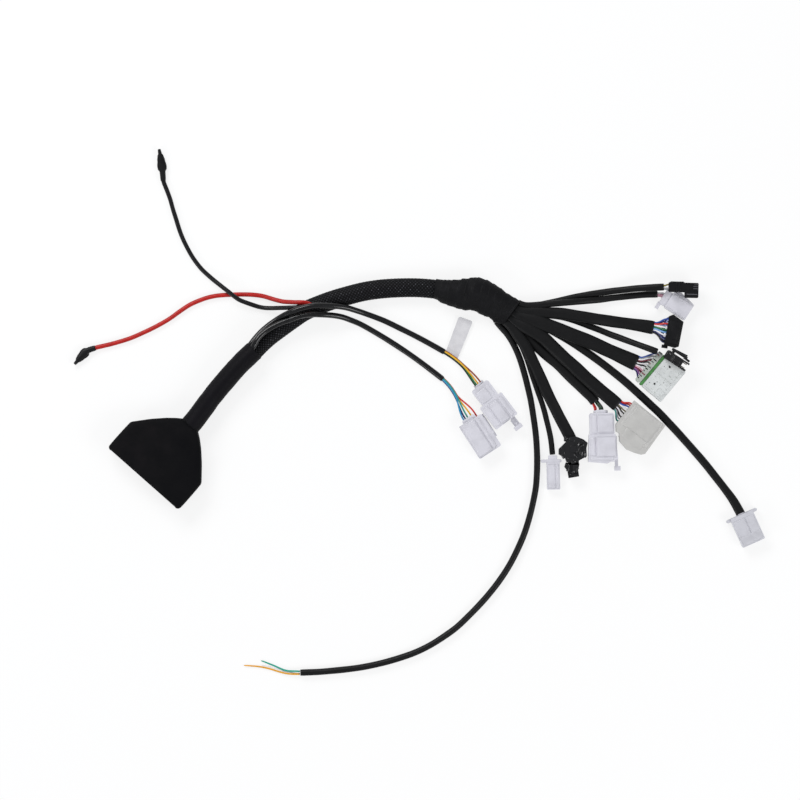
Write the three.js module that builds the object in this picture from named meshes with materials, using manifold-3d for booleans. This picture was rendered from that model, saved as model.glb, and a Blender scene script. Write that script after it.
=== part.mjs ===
// A vehicle wiring harness that lies flat: a rubber boot, a woven trunk, a taped junction, eleven fan
// branches, two side branches, two single leads, and the connectors on their ends.
// Millimetres, +Z up, the table is z = 0. Places are read on a layout sheet: x runs from its left edge,
// y runs down from its top edge, and z is the height over the table.

import * as THREE from 'three';
import { mergeVertices } from 'three/addons/utils/BufferGeometryUtils.js';
import Module from 'manifold-3d';

const wasm = await Module();
wasm.setup();

// Where the part's origin lies on the layout sheet
const ORIGIN_X = 315;
const ORIGIN_Y = 393;

// Clearance between pieces that touch
const GAP = 0.3;

// Boot
const BOOT_HEIGHT = 24;
const BOOT_MOUTH_WIDTH = 92;
const BOOT_SHOULDER_WIDTH = 93;
const BOOT_SHOULDER_AT = 34.8;
const BOOT_LENGTH = 71.3;
const BOOT_NECK_WIDTH = 20;
const BOOT_WALL = 3;
const BOOT_EDGE = 3;
const BOOT_CAVITY_DEPTH = 34;
const BOOT_HEADING = 48.5;
const BOOT_MOUTH_AT = [143.6, 478.7];

// Contact block in the boot's mouth
const BLOCK_RECESS = 12;
const BLOCK_CONTACT_PITCH = 7.2;
const BLOCK_CONTACT_COLUMNS = 10;
const BLOCK_CONTACT_ROW_PITCH = 8;
const BLOCK_CONTACT_SIZE = 3.2;
const BLOCK_CONTACT_DEPTH = 8;

// Neck tube
const NECK_WIDTH = 20.4;
const NECK_START_HEIGHT = 20.4;
const NECK_END_WIDTH = 19.8;
const NECK_END_HEIGHT = 24.4;
const NECK_WALL = 1.5;
const NECK_CLEARANCE = 0.8;

// Trunk: the braid is a flattened tube, the bundle of wires runs inside it
const TRUNK_WIDTH = 19;
const TRUNK_HEIGHT = 15;
const BRAID_WALL = 1.2;
const BUNDLE_WIDTH = 13;
const BUNDLE_HEIGHT = 10;
const TRUNK_Z = TRUNK_HEIGHT / 2;

// Junction: tape wound over the split; its two mouths take the trunk and the branches
const TAPE_MIDDLE_HEIGHT = 22;
const TAPE_MOUTH_WIDTH = 34;
const TAPE_MOUTH_HEIGHT = 12.6;
const TAPE_MOUTH_DEPTH = 1.4;

// Side branches and single leads
const SIDE_SLEEVE_DIAMETER = 5.8;
const LEAD_DIAMETER = 4.5;
const WIRE_DIAMETER = 1.8;
const WIRE_STEP = 6;
const LABEL_THICKNESS = 0.6;
const LABEL_HEIGHT = 1.2;
const COVER_THICKNESS = 5.6;
const CONTACT_DIAMETER = 2.4;
const CONTACT_LENGTH = 14;

// Fan branches: sleeves leave the junction packed tight, then spread to their own width
const ROOT_SIZE = 5.6;
const SPREAD_START = 8;
const SPREAD_END = 48;
const END_FLARE_LENGTH = 34;
const LONG_BRANCH_DIAMETER = 6.4;

// Connector heights and the walls of those with an open shroud
const SHROUD_WALL = 1.8;
const HEIGHT_SIDE_1 = 14;
const HEIGHT_SIDE_2 = 12;
const HEIGHT_01 = 9;
const HEIGHT_02 = 9;
const HEIGHT_03 = 14;
const HEIGHT_04 = 7.4;
const HEIGHT_05 = 15;
const HEIGHT_06 = 11;
const HEIGHT_07 = 15;
const HEIGHT_08 = 15;
const HEIGHT_09 = 13;
const HEIGHT_10 = 7.6;

const harness = new THREE.Group();

// Materials
function finish(color, roughness, metalness = 0) {
  return new THREE.MeshStandardMaterial({ color, roughness, metalness });
}
const bootRubber = () => finish(0x141418, 0.62);
const shrinkTube = () => finish(0x1a1a1d, 0.45);
const braidFabric = () => finish(0x17171a, 0.75);
const clothTape = () => finish(0x222224, 0.8);
const blackSleeve = () => finish(0x1c1c1e, 0.4);
const blackPlastic = () => finish(0x17171a, 0.4);
const whiteNylon = () => finish(0xcfcfd8, 0.4);
const greyNylon = () => finish(0xb9b8b6, 0.35);
const clearNylon = () => finish(0xcdd3cf, 0.35);
const tinPlate = () => finish(0xb8b4a6, 0.3, 1);

// Places
function onSheet([x, y, z = 0]) {
  return new THREE.Vector3(x - ORIGIN_X, ORIGIN_Y - y, z);
}

function frameAt([x, y, z = 0], headingDegrees) {
  const frame = new THREE.Group();
  frame.position.copy(onSheet([x, y, z]));
  frame.rotation.z = THREE.MathUtils.degToRad(headingDegrees);
  harness.add(frame);
  return frame;
}

function addPiece(parent, name, geometry, material) {
  const mesh = new THREE.Mesh(geometry, material);
  mesh.name = name;
  parent.add(mesh);
  return mesh;
}

// Solids: joins and cuts of closed meshes
function solidOf(geometry) {
  const bare = geometry.clone();
  bare.deleteAttribute('normal');
  bare.deleteAttribute('uv');
  const merged = mergeVertices(bare, 1e-4);
  return new wasm.Manifold(new wasm.Mesh({
    numProp: 3,
    vertProperties: new Float32Array(merged.attributes.position.array),
    triVerts: new Uint32Array(merged.index.array),
  }));
}

function geometryOf(solid) {
  const mesh = solid.getMesh();
  const geometry = new THREE.BufferGeometry();
  geometry.setAttribute('position', new THREE.BufferAttribute(mesh.vertProperties, 3));
  geometry.setIndex(new THREE.BufferAttribute(mesh.triVerts, 1));
  geometry.computeVertexNormals();
  return geometry;
}

function cut(geometry, ...tools) {
  return geometryOf(tools.reduce((solid, tool) => solid.subtract(solidOf(tool)), solidOf(geometry)));
}

function join(...geometries) {
  return geometryOf(geometries.map(solidOf).reduce((whole, solid) => whole.add(solid)));
}

// A block between two corners, in the frame of the piece
function block(x0, x1, y0, y1, z0, z1) {
  const box = new THREE.BoxGeometry(x1 - x0, y1 - y0, z1 - z0);
  return box.translate((x0 + x1) / 2, (y0 + y1) / 2, (z0 + z1) / 2);
}

// An upright prism over an outline
function prism(outline, z0, z1) {
  const shape = new THREE.Shape(outline.map(([x, y]) => new THREE.Vector2(x, y)));
  return new THREE.ExtrudeGeometry(shape, { depth: z1 - z0, bevelEnabled: false }).translate(0, 0, z0);
}

// A block whose four upright corners are cut off
function chamferedBlock(x0, x1, y0, y1, z0, z1, corner) {
  return prism([
    [x0 + corner, y0], [x1 - corner, y0], [x1, y0 + corner], [x1, y1 - corner],
    [x1 - corner, y1], [x0 + corner, y1], [x0, y1 - corner], [x0, y0 + corner],
  ], z0, z1);
}

// A closed skin through rings of points, all with the same count
function loft(rings) {
  const count = rings[0].length;
  const positions = rings.flat().flatMap((point) => point.toArray());
  const index = [];
  for (let ring = 0; ring < rings.length - 1; ring += 1) {
    for (let side = 0; side < count; side += 1) {
      const a = ring * count + side;
      const b = ring * count + ((side + 1) % count);
      index.push(a, b, a + count, b, b + count, a + count);
    }
  }
  const last = (rings.length - 1) * count;
  for (let side = 1; side < count - 1; side += 1) {
    index.push(0, side + 1, side);
    index.push(last, last + side, last + side + 1);
  }
  const geometry = new THREE.BufferGeometry();
  geometry.setAttribute('position', new THREE.Float32BufferAttribute(positions, 3));
  geometry.setIndex(index);
  geometry.computeVertexNormals();
  return geometry;
}

function ovalRing(centre, side, up, width, height, sides) {
  const ring = [];
  for (let i = 0; i < sides; i += 1) {
    const turn = (2 * Math.PI * (i + 0.5)) / sides;
    ring.push(centre.clone()
      .addScaledVector(side, (Math.cos(turn) * width) / 2)
      .addScaledVector(up, (Math.sin(turn) * height) / 2));
  }
  return ring;
}

function curveThrough(points) {
  return new THREE.CatmullRomCurve3(points.map(onSheet), false, 'centripetal');
}

// An oval tube along a route; size(distance, length) gives its width and height there
function ovalTube(curve, size, sides, step) {
  const length = curve.getLength();
  const steps = Math.max(2, Math.round(length / step));
  const rings = [];
  for (let i = 0; i <= steps; i += 1) {
    const tangent = curve.getTangentAt(i / steps);
    const side = new THREE.Vector3(0, 0, 1).cross(tangent).normalize();
    const up = tangent.clone().cross(side).normalize();
    const [width, height] = size((length * i) / steps, length);
    rings.push(ovalRing(curve.getPointAt(i / steps), side, up, width, height, sides));
  }
  return loft(rings);
}

// A round cord: its section is swept along the route
function roundCord(route, diameter, sides, stepDiameters) {
  const curve = curveThrough(route);
  const section = new THREE.Shape();
  for (let i = 0; i < sides; i += 1) {
    const turn = (2 * Math.PI * (i + 0.5)) / sides;
    const x = (Math.cos(turn) * diameter) / 2;
    const y = (Math.sin(turn) * diameter) / 2;
    if (i === 0) section.moveTo(x, y);
    else section.lineTo(x, y);
  }
  const steps = Math.min(80, Math.round(curve.getLength() / (stepDiameters * diameter)));
  return new THREE.ExtrudeGeometry(section, { steps, extrudePath: curve, bevelEnabled: false });
}

// Wires side by side from a sleeve's mouth to a connector's rear face. They are pressed together at
// the mouth, so that one fan is one body, and lie apart at the connector.
function wireFan({ from, heading, to, toHeading, count, spreadFrom, spreadTo, bow = 0.35 }) {
  const start = onSheet(from);
  const end = onSheet(to);
  const reach = start.distanceTo(end) * bow;
  const turned = (degrees) => {
    const angle = THREE.MathUtils.degToRad(degrees);
    return {
      along: new THREE.Vector3(Math.cos(angle), Math.sin(angle), 0),
      across: new THREE.Vector3(-Math.sin(angle), Math.cos(angle), 0),
    };
  };
  const out = turned(heading);
  const inward = turned(toHeading);
  const wires = [];
  for (let i = 0; i < count; i += 1) {
    const share = count === 1 ? 0 : i / (count - 1) - 0.5;
    const first = start.clone().addScaledVector(out.across, share * spreadFrom);
    const last = end.clone().addScaledVector(inward.across, share * spreadTo);
    const curve = new THREE.CubicBezierCurve3(
      first,
      first.clone().addScaledVector(out.along, reach),
      last.clone().addScaledVector(inward.along, -reach),
      last,
    );
    wires.push(ovalTube(curve, () => [WIRE_DIAMETER, WIRE_DIAMETER], 6, WIRE_STEP));
  }
  const pressed = new THREE.LineCurve3(
    start.clone().addScaledVector(out.along, -0.2),
    start.clone().addScaledVector(out.along, WIRE_DIAMETER),
  );
  const pressedSize = [spreadFrom + WIRE_DIAMETER / 2, WIRE_DIAMETER * 0.7];
  wires.push(ovalTube(pressed, () => pressedSize, 8, WIRE_DIAMETER));
  return join(...wires);
}

// Rows of contact slots, each cut between two places along X
function slots({ from, to, columns, rows = 1, pitch, rowPitch = 0, width, height, y = 0, z }) {
  const cuts = [];
  for (let column = 0; column < columns; column += 1) {
    for (let row = 0; row < rows; row += 1) {
      const left = y + (column - (columns - 1) / 2) * pitch - width / 2;
      const low = z + (row - (rows - 1) / 2) * rowPitch - height / 2;
      cuts.push(block(from, to, left, left + width, low, low + height));
    }
  }
  return cuts;
}

// The cavity of an open shroud whose outside lies between y0 and y1
function shroudCavity(from, to, y0, y1, height) {
  return block(from, to, y0 + SHROUD_WALL, y1 - SHROUD_WALL, SHROUD_WALL, height - SHROUD_WALL);
}

// Boot: a moulded rubber fan with a wide mouth, and a passage for the bundle to its neck
function bootOutline() {
  const mouth = BOOT_MOUTH_WIDTH / 2;
  const shoulder = BOOT_SHOULDER_WIDTH / 2;
  const neck = BOOT_NECK_WIDTH / 2;
  const half = [
    [-BOOT_EDGE, mouth], [BOOT_SHOULDER_AT - 1, shoulder], [BOOT_SHOULDER_AT + 2, shoulder - 1.2],
    [BOOT_SHOULDER_AT + 16, shoulder - 13.2], [BOOT_LENGTH - 8, neck + 11.2], [BOOT_LENGTH, neck],
  ];
  return [...half.map(([x, y]) => [x, -y]), ...half.reverse()];
}

function bootShell(passage) {
  const shape = new THREE.Shape(bootOutline().map(([x, y]) => new THREE.Vector2(x, y)));
  const body = new THREE.ExtrudeGeometry(shape, {
    depth: BOOT_HEIGHT - 2 * BOOT_EDGE,
    bevelThickness: BOOT_EDGE,
    bevelSize: BOOT_EDGE,
    bevelOffset: -BOOT_EDGE,
    bevelSegments: 3,
  }).translate(0, 0, BOOT_EDGE);
  const beyondMouth = block(-20, 0, -80, 80, -1, BOOT_HEIGHT + 1);
  const halfWidth = BOOT_MOUTH_WIDTH / 2 - BOOT_WALL;
  const cavity = block(-1, BOOT_CAVITY_DEPTH, -halfWidth, halfWidth, BOOT_WALL, BOOT_HEIGHT - BOOT_WALL);
  return cut(body, beyondMouth, cavity, passage);
}

function contactBlock() {
  const halfWidth = BOOT_MOUTH_WIDTH / 2 - BOOT_WALL - GAP;
  const back = BOOT_CAVITY_DEPTH - GAP;
  const low = BOOT_WALL + GAP;
  const high = BOOT_HEIGHT - BOOT_WALL - GAP;
  const contacts = slots({
    from: BLOCK_RECESS - 1,
    to: BLOCK_RECESS + BLOCK_CONTACT_DEPTH,
    columns: BLOCK_CONTACT_COLUMNS,
    rows: 2,
    pitch: BLOCK_CONTACT_PITCH,
    rowPitch: BLOCK_CONTACT_ROW_PITCH,
    width: BLOCK_CONTACT_SIZE,
    height: BLOCK_CONTACT_SIZE,
    z: BOOT_HEIGHT / 2,
  });
  return cut(block(BLOCK_RECESS, back, -halfWidth, halfWidth, low, high), ...contacts);
}

// Trunk routes: the neck tube starts a little beyond the boot's end, on the boot's own line
function onBootLine(along) {
  const turn = THREE.MathUtils.degToRad(BOOT_HEADING);
  return [BOOT_MOUTH_AT[0] + along * Math.cos(turn), BOOT_MOUTH_AT[1] - along * Math.sin(turn), 11];
}
const neckRoute = [
  onBootLine(BOOT_LENGTH + NECK_CLEARANCE), [200, 413.6, 11], [211.6, 397.9, 11.2], [221, 386.2, 11.5],
  [231.3, 374.1, 11.8], [243, 361.6, 12.1], [254.6, 350.6, 12.2],
];
const trunkRoute = [
  [255.3, 349.9, TRUNK_Z], [262.5, 342.6, TRUNK_Z], [270, 336, TRUNK_Z], [278.1, 329.9, TRUNK_Z],
  [290.6, 320.8, TRUNK_Z], [304.4, 311.6, TRUNK_Z], [318, 305.6, TRUNK_Z], [331, 300.8, TRUNK_Z],
  [345.5, 296.4, TRUNK_Z], [363.5, 291.8, TRUNK_Z], [380, 289.3, TRUNK_Z], [400, 288, TRUNK_Z],
  [419, 288, TRUNK_Z], [436, 289.5, TRUNK_Z], [445, 291, TRUNK_Z],
];
const bundleRoute = [
  [166.4, 452.9, 11], [179, 438.8, 11], [191, 425.1, 11], [200, 413.6, 11], [211.6, 397.9, 11],
  [221, 386.2, 10.6], [231.3, 374.1, 10], [243, 361.6, 9], ...trunkRoute,
];

const trunkCurve = curveThrough(trunkRoute);
const bundleCurve = curveThrough(bundleRoute);
const bundleSize = () => [BUNDLE_WIDTH, BUNDLE_HEIGHT];
const bundleClearance = () => [BUNDLE_WIDTH + 2 * GAP, BUNDLE_HEIGHT + 2 * GAP];

function neckSize(distance, length) {
  const share = distance / length;
  return [
    THREE.MathUtils.lerp(NECK_WIDTH, NECK_END_WIDTH, share),
    THREE.MathUtils.lerp(NECK_START_HEIGHT, NECK_END_HEIGHT, share),
  ];
}

function neckTube() {
  const curve = curveThrough(neckRoute);
  const outer = ovalTube(curve, neckSize, 16, 16);
  const last = neckRoute[neckRoute.length - 1];
  const longer = [onBootLine(BOOT_LENGTH - 5), ...neckRoute, [last[0] + 3, last[1] - 2.9, last[2]]];
  const bore = (distance, length) => neckSize(distance, length).map((size) => size - 2 * NECK_WALL);
  return cut(outer, ovalTube(curveThrough(longer), bore, 16, 16));
}

function trunkBraid() {
  const outer = ovalTube(trunkCurve, () => [TRUNK_WIDTH, TRUNK_HEIGHT], 16, 16);
  const longer = [[250.6, 354.5, TRUNK_Z], ...trunkRoute, [449.9, 291.9, TRUNK_Z]];
  const bore = () => [TRUNK_WIDTH - 2 * BRAID_WALL, TRUNK_HEIGHT - 2 * BRAID_WALL];
  return cut(outer, ovalTube(curveThrough(longer), bore, 16, 16));
}

// Junction: cross lines over the tape, each from its upper edge to its lower edge on the sheet, with
// the height there; the uneven widths are the turns of tape
const tapeStations = [
  { upper: [436.2, 278.2], lower: [433.3, 300.2], height: 18.4 },
  { upper: [442.8, 279.8], lower: [441, 303], height: 20 },
  { upper: [456.8, 279.4], lower: [455.5, 308.4], height: TAPE_MIDDLE_HEIGHT },
  { upper: [464.5, 278.6], lower: [461.5, 310.2], height: TAPE_MIDDLE_HEIGHT + 0.4 },
  { upper: [468.3, 278.3], lower: [464.8, 310.8], height: TAPE_MIDDLE_HEIGHT - 0.6 },
  { upper: [474.6, 277.4], lower: [471.8, 310.8], height: TAPE_MIDDLE_HEIGHT + 0.4 },
  { upper: [481.7, 278.1], lower: [477.8, 313.5], height: TAPE_MIDDLE_HEIGHT - 0.4 },
  { upper: [489.3, 281.3], lower: [483.4, 316.2], height: TAPE_MIDDLE_HEIGHT - 1 },
  { upper: [497, 285.7], lower: [489.3, 318.6], height: TAPE_MIDDLE_HEIGHT - 2.4 },
  { upper: [505.3, 291.5], lower: [493.8, 322.6], height: TAPE_MIDDLE_HEIGHT - 4 },
  { upper: [512.3, 296.2], lower: [498.2, 323.8], height: TAPE_MIDDLE_HEIGHT - 5.4 },
  { upper: [520.6, 300.8], lower: [503.6, 324.4], height: TAPE_MIDDLE_HEIGHT - 6.4 },
];

function stationRing({ upper, lower, height }, sides) {
  const high = onSheet(upper);
  const low = onSheet(lower);
  const centre = high.clone().add(low).multiplyScalar(0.5).setZ(height / 2);
  const side = high.clone().sub(low).normalize();
  return ovalRing(centre, side, new THREE.Vector3(0, 0, 1), high.distanceTo(low), height, sides);
}

function junctionTape() {
  const wound = loft(tapeStations.map((station) => stationRing(station, 18)));
  const trunkMouth = ovalTube(
    curveThrough([...trunkRoute.slice(-5), [445.5, 291.1, TRUNK_Z]]),
    () => [TRUNK_WIDTH + 2 * GAP, TRUNK_HEIGHT + 2 * GAP], 16, 12,
  );
  const end = tapeStations[tapeStations.length - 1];
  const high = onSheet(end.upper);
  const low = onSheet(end.lower);
  const mouth = block(-TAPE_MOUTH_DEPTH, 10, -TAPE_MOUTH_WIDTH / 2, TAPE_MOUTH_WIDTH / 2,
    -1, TAPE_MOUTH_HEIGHT);
  const across = high.clone().sub(low);
  const middle = high.clone().add(low).multiplyScalar(0.5);
  mouth.rotateZ(Math.atan2(across.y, across.x) - Math.PI / 2);
  mouth.translate(middle.x, middle.y, 0);
  const longBranchBore = roundCord([[495.9, 321, 3.2], ...longRoute.slice(0, 7)],
    LONG_BRANCH_DIAMETER + 2 * GAP, 12, 1);
  return cut(wound, trunkMouth, mouth, longBranchBore);
}

// Fan branches: the route of each sleeve, the width and height it spreads to, and its width at the end
const branches = [
  {
    name: 'branch_01_sleeve', width: 6, height: 5.6, endWidth: 6,
    route: [
      [518.1, 302.4, 2.8], [519.4, 303.3, 2.8], [525, 305.3, 2.8], [532, 306, 2.8], [540, 304.9, 2.8],
      [548, 303.3, 2.8], [556, 301.5, 2.8], [566, 299.2, 2.8], [577.4, 296.6, 2.8], [588, 294.6, 3],
      [600, 292.9, 3.6], [612, 291.2, 5], [621, 290.2, 6.4], [632, 289, 8.6], [643, 288.2, 10.8],
      [654, 287.6, 12.8], [663.2, 287.3, 13.8],
    ],
  },
  {
    name: 'branch_02_sleeve', width: 6, height: 5.6, endWidth: 6,
    route: [
      [518.1, 302.4, 8.8], [519.4, 303.2, 8.8], [525, 305, 8.9], [532, 305.3, 8.9], [540, 304.9, 8.9],
      [548, 304.2, 8.9], [556, 303.5, 8.9], [566, 302.6, 8.7], [574, 302, 8.2], [582, 301.4, 7],
      [590, 300.6, 5.4], [600, 299.6, 3.9], [612, 298, 3.1], [624, 296.6, 2.9], [636, 295.4, 2.8],
      [647, 294.6, 2.8], [657.4, 294.2, 3],
    ],
  },
  {
    name: 'branch_03_sleeve', width: 11.3, height: 5.6, endWidth: 13.4,
    route: [
      [514.6, 307.1, 8.8], [515.9, 308, 8.8], [522, 310.6, 8.9], [530, 311.8, 9.1], [540, 312.4, 9.2],
      [549, 312.9, 9.2], [560, 313.6, 9.2], [570, 314.8, 9.2], [580, 316.4, 9.2], [590, 318.1, 8.8],
      [600, 319.8, 8], [611, 321.4, 6.8], [622, 322.9, 5.9], [632, 324.4, 5.5], [643, 326, 5.6],
      [653.3, 327.8, 6],
    ],
  },
  {
    name: 'branch_04_sleeve', width: 6.4, height: 5.8, endWidth: 6.4,
    route: [
      [514.6, 307.1, 2.8], [515.9, 308, 2.8], [522, 311.3, 2.9], [531, 313.6, 2.9], [541, 314.6, 2.9],
      [551, 315.6, 2.9], [561, 317, 2.9], [571, 319.6, 2.9], [580, 322.6, 2.9], [590, 326.4, 2.9],
      [600, 330.2, 3.1], [610, 334.4, 4.6], [620, 338.1, 7.2], [630, 341.9, 10.6], [640, 345.7, 14.2],
      [649, 349, 17.2], [656.3, 351.8, 18.8],
    ],
  },
  {
    name: 'branch_05_sleeve', width: 14, height: 6, endWidth: 16.2,
    route: [
      [511.1, 311.9, 8.8], [512.4, 312.8, 8.8], [518, 315.6, 9], [525, 317.9, 9.4], [533, 320.3, 9.9],
      [541, 323.2, 10.2], [550, 326.6, 10.3], [560, 330.4, 10.3], [570, 334.4, 10.3], [580, 338.3, 10.2],
      [590, 342.4, 9.9], [600, 346.7, 9.3], [610, 351.2, 8.6], [619, 355.2, 8], [628, 359.3, 7.6],
      [636, 363.2, 7.6],
    ],
  },
  {
    name: 'branch_06_sleeve', width: 8, height: 6.8, endWidth: 8,
    route: [
      [511.1, 311.9, 2.8], [512.4, 312.8, 2.8], [518, 315.8, 3], [526, 318.9, 3.3], [534, 322.2, 3.4],
      [542, 325.9, 3.4], [551, 330.2, 3.4], [560, 335.2, 3.4], [570, 341.2, 3.4], [580, 347.8, 3.4],
      [590, 354.6, 3.4], [600, 361.8, 3.4], [610, 369.5, 3.4], [620, 377.5, 3.4], [630, 386, 3.4],
      [640, 395, 3.4], [650, 404.3, 3.4], [658, 411.8, 3.4], [666.1, 420.2, 3.4], [675, 429.8, 3.4],
      [684.9, 440.6, 3.4], [693, 449.8, 3.4], [702.1, 460.3, 3.4], [713.5, 474.6, 3.4],
      [725.6, 490.2, 3.4], [732.9, 500.3, 3.6], [740.3, 513.5, 4.4],
    ],
  },
  {
    name: 'branch_07_sleeve', width: 13, height: 6, endWidth: 13.8,
    route: [
      [507.7, 316.7, 8.8], [509, 317.6, 8.8], [515, 321.8, 9.1], [522, 325.6, 9.6], [529, 329.4, 9.9],
      [537, 334, 10], [544, 338.8, 10], [551, 345.4, 10], [558, 352.2, 10], [565.3, 359.2, 10],
      [573, 366, 10], [580.5, 372.9, 10], [587.5, 379.2, 10], [596, 386.7, 9.9], [604, 393.6, 9.7],
      [611, 399.7, 9.4], [617.2, 405.2, 9.2],
    ],
  },
  {
    name: 'branch_08_sleeve', width: 11, height: 6.4, endWidth: 10.4,
    route: [
      [507.7, 316.7, 2.8], [509, 317.6, 2.8], [514.5, 322.2, 2.9], [520, 327.3, 3.1], [526, 334.2, 3.2],
      [532, 341.2, 3.2], [539, 348.4, 3.2], [547, 355.4, 3.2], [555.6, 362.4, 3.2], [564, 370.8, 3.2],
      [573.4, 379.9, 3.2], [580, 386.2, 3.2], [586, 391.9, 3.2], [591.3, 397, 3.2], [595, 402.2, 3.2],
    ],
  },
  {
    name: 'branch_09_sleeve', width: 11.4, height: 5.8, endWidth: 11.6,
    route: [
      [504.2, 321.5, 8.8], [505.5, 322.4, 8.8], [510.5, 326.8, 9.1], [515, 331.8, 9.5],
      [519.6, 338.2, 9.8], [524, 345, 9.8], [528, 352, 9.6], [532, 359.8, 9.4], [536.3, 369, 9.2],
      [540.9, 379.6, 9.1], [545.6, 389.8, 9], [550.4, 399.8, 8.6], [555.6, 409.8, 7.8], [561, 420, 7],
      [565.5, 429, 6.6], [568.6, 435.2, 6.5],
    ],
  },
  {
    name: 'branch_10_sleeve', width: 5.7, height: 5.6, endWidth: 5.7,
    route: [
      [504.2, 321.5, 2.8], [505.5, 322.4, 2.8], [508.6, 325.1, 2.8], [511.6, 328.6, 2.8],
      [514.5, 332.4, 2.8], [517.2, 336.4, 2.8], [521.2, 345, 2.8], [524.5, 352.6, 2.8],
      [527.4, 360.2, 2.8], [530.6, 370, 2.8], [533.9, 380.2, 2.8], [537.3, 390.2, 2.8],
      [540.9, 400.2, 2.8], [544, 410.2, 2.8], [546.6, 420.2, 2.8], [549, 430.4, 2.8], [551, 441, 2.8],
      [552.4, 454.6, 2.8],
    ],
  },
];

function sleeveSize({ width, height, endWidth }) {
  return (distance, length) => {
    const spread = THREE.MathUtils.smoothstep(distance, SPREAD_START, SPREAD_END);
    const flare = THREE.MathUtils.smoothstep(distance, length - END_FLARE_LENGTH, length);
    const full = THREE.MathUtils.lerp(width, endWidth, flare);
    return [
      THREE.MathUtils.lerp(ROOT_SIZE, full, spread),
      THREE.MathUtils.lerp(ROOT_SIZE, height, spread),
    ];
  };
}

function fanBranches() {
  for (const branch of branches) {
    const sides = branch.width > 10 ? 12 : 8;
    const tube = ovalTube(curveThrough(branch.route), sleeveSize(branch), sides, 2 * branch.height);
    addPiece(harness, branch.name, tube, blackSleeve());
  }
}

// The long branch at the side of the fan, and the cut wires at its end
const longRoute = [
  [496.4, 321.6, 3.2], [501, 327.2, 3.2], [507, 334, 3.2], [512.3, 342.2, 3.2], [517.2, 352.1, 3.2],
  [520.3, 360.2, 3.2], [523.3, 370.2, 3.2], [526, 380.2, 3.2], [528.4, 390.2, 3.2], [530.6, 400.2, 3.2],
  [533.9, 420.2, 3.2], [536.3, 440, 3.2], [537, 460, 3.2], [536.8, 475, 3.2], [535.8, 487, 3.2],
  [533.4, 500.2, 3.2], [529.9, 515.2, 3.2], [525.4, 530.2, 3.2], [519.9, 544, 3.2], [513.5, 557.5, 3.2],
  [506.3, 570.2, 3.2], [497.6, 583, 3.2], [487.9, 595.2, 3.2], [478.2, 606, 3.2], [468, 616.4, 3.2],
  [456.5, 627.2, 3.2], [444.2, 636.2, 3.2], [430.3, 644.9, 3.2], [415.3, 652.2, 3.2],
  [400.2, 657.7, 3.2], [380.5, 663.1, 3.2], [360.3, 667.3, 3.2], [340, 669.9, 3.2], [320, 671.6, 3.2],
  [300.4, 672.5, 3.2],
];
const greenWireRoute = [
  [300, 671.2, 3.2], [296, 671, 3.1], [292, 670.9, 2.8], [288, 670.7, 2.4], [284, 669.8, 2],
  [281, 668.7, 1.6], [278, 667.4, 1.2], [275, 666, 1], [272, 664.8, 0.9], [270, 664, 0.9],
  [268, 663.2, 0.9], [266, 662.4, 0.9], [264, 661.6, 0.9], [262.6, 661.1, 0.9], [261.2, 660.7, 0.9],
];
const amberWireRoute = [
  [300, 674, 3.2], [296, 674, 3], [292, 673.9, 2.6], [288, 673.6, 2.1], [284, 672.9, 1.6],
  [280, 671.9, 1.2], [276, 670.7, 1], [272, 669.4, 0.9], [268, 668.3, 0.9], [264, 667.4, 0.9],
  [260, 666.7, 0.9], [256, 666.2, 0.9], [252, 665.9, 0.9], [248, 665.6, 0.9], [244, 665.4, 0.9],
];

function longBranch() {
  const sleeve = roundCord(longRoute, LONG_BRANCH_DIAMETER, 8, 1.6);
  addPiece(harness, 'branch_11_sleeve', sleeve, blackSleeve());
  addPiece(harness, 'branch_11_green_wire', roundCord(greenWireRoute, WIRE_DIAMETER, 8, 2),
    finish(0x1f9a83, 0.4));
  addPiece(harness, 'branch_11_amber_wire', roundCord(amberWireRoute, WIRE_DIAMETER, 8, 2),
    finish(0xe0a21f, 0.4));
}

// Side branches: two sleeves from the neck that cross over the trunk
const sideRoute1 = [
  [250.3, 344.8, 16.3], [254.5, 340, 15.9], [261, 332.5, 15.2], [268.5, 326, 15.2], [276, 320.6, 15.8],
  [282.5, 316.6, 17.6], [289.3, 313.2, 20.2], [296, 310.4, 22.4], [302.5, 308.4, 23.2],
  [309.2, 306.9, 23.3], [316, 306, 22.9], [325.8, 305.9, 21.2], [333.5, 306.3, 19.4], [341, 307, 16.8],
  [348, 308.2, 13.6], [356, 310.6, 9.8], [365, 313.6, 6.2], [375, 317.2, 4], [385.8, 321.5, 3.1],
  [402.4, 329.6, 2.9], [419, 338, 2.9], [435.6, 347, 2.9], [444.3, 352, 2.9],
];
const sideRoute2 = [
  [254.2, 346.8, 21.4], [256.6, 341.6, 21.6], [259.8, 337, 21.2], [265, 332.2, 20.4], [270.2, 328.7, 20.3],
  [275.8, 325.6, 20.3], [282.6, 322.6, 20], [290.3, 320, 19.3], [296.5, 317.5, 18.8], [303, 315.6, 18.5],
  [310, 314.8, 18.4], [316.5, 314.8, 18.2], [322.5, 315, 17.2], [329, 315.3, 15], [336, 316, 12],
  [343, 317.4, 8.8], [350.5, 320, 5.8], [358, 323, 3.9], [365, 326.6, 3.1], [385.8, 338.8, 2.9],
  [402.4, 349.5, 2.9], [419, 361.1, 2.9], [435.6, 373.6, 2.9], [442.8, 379.2, 2.9],
];

function sideBranches() {
  addPiece(harness, 'side_sleeve_1', roundCord(sideRoute1, SIDE_SLEEVE_DIAMETER, 8, 1.5), blackSleeve());
  addPiece(harness, 'side_sleeve_2', roundCord(sideRoute2, SIDE_SLEEVE_DIAMETER, 8, 1.5), blackSleeve());
}

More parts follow.
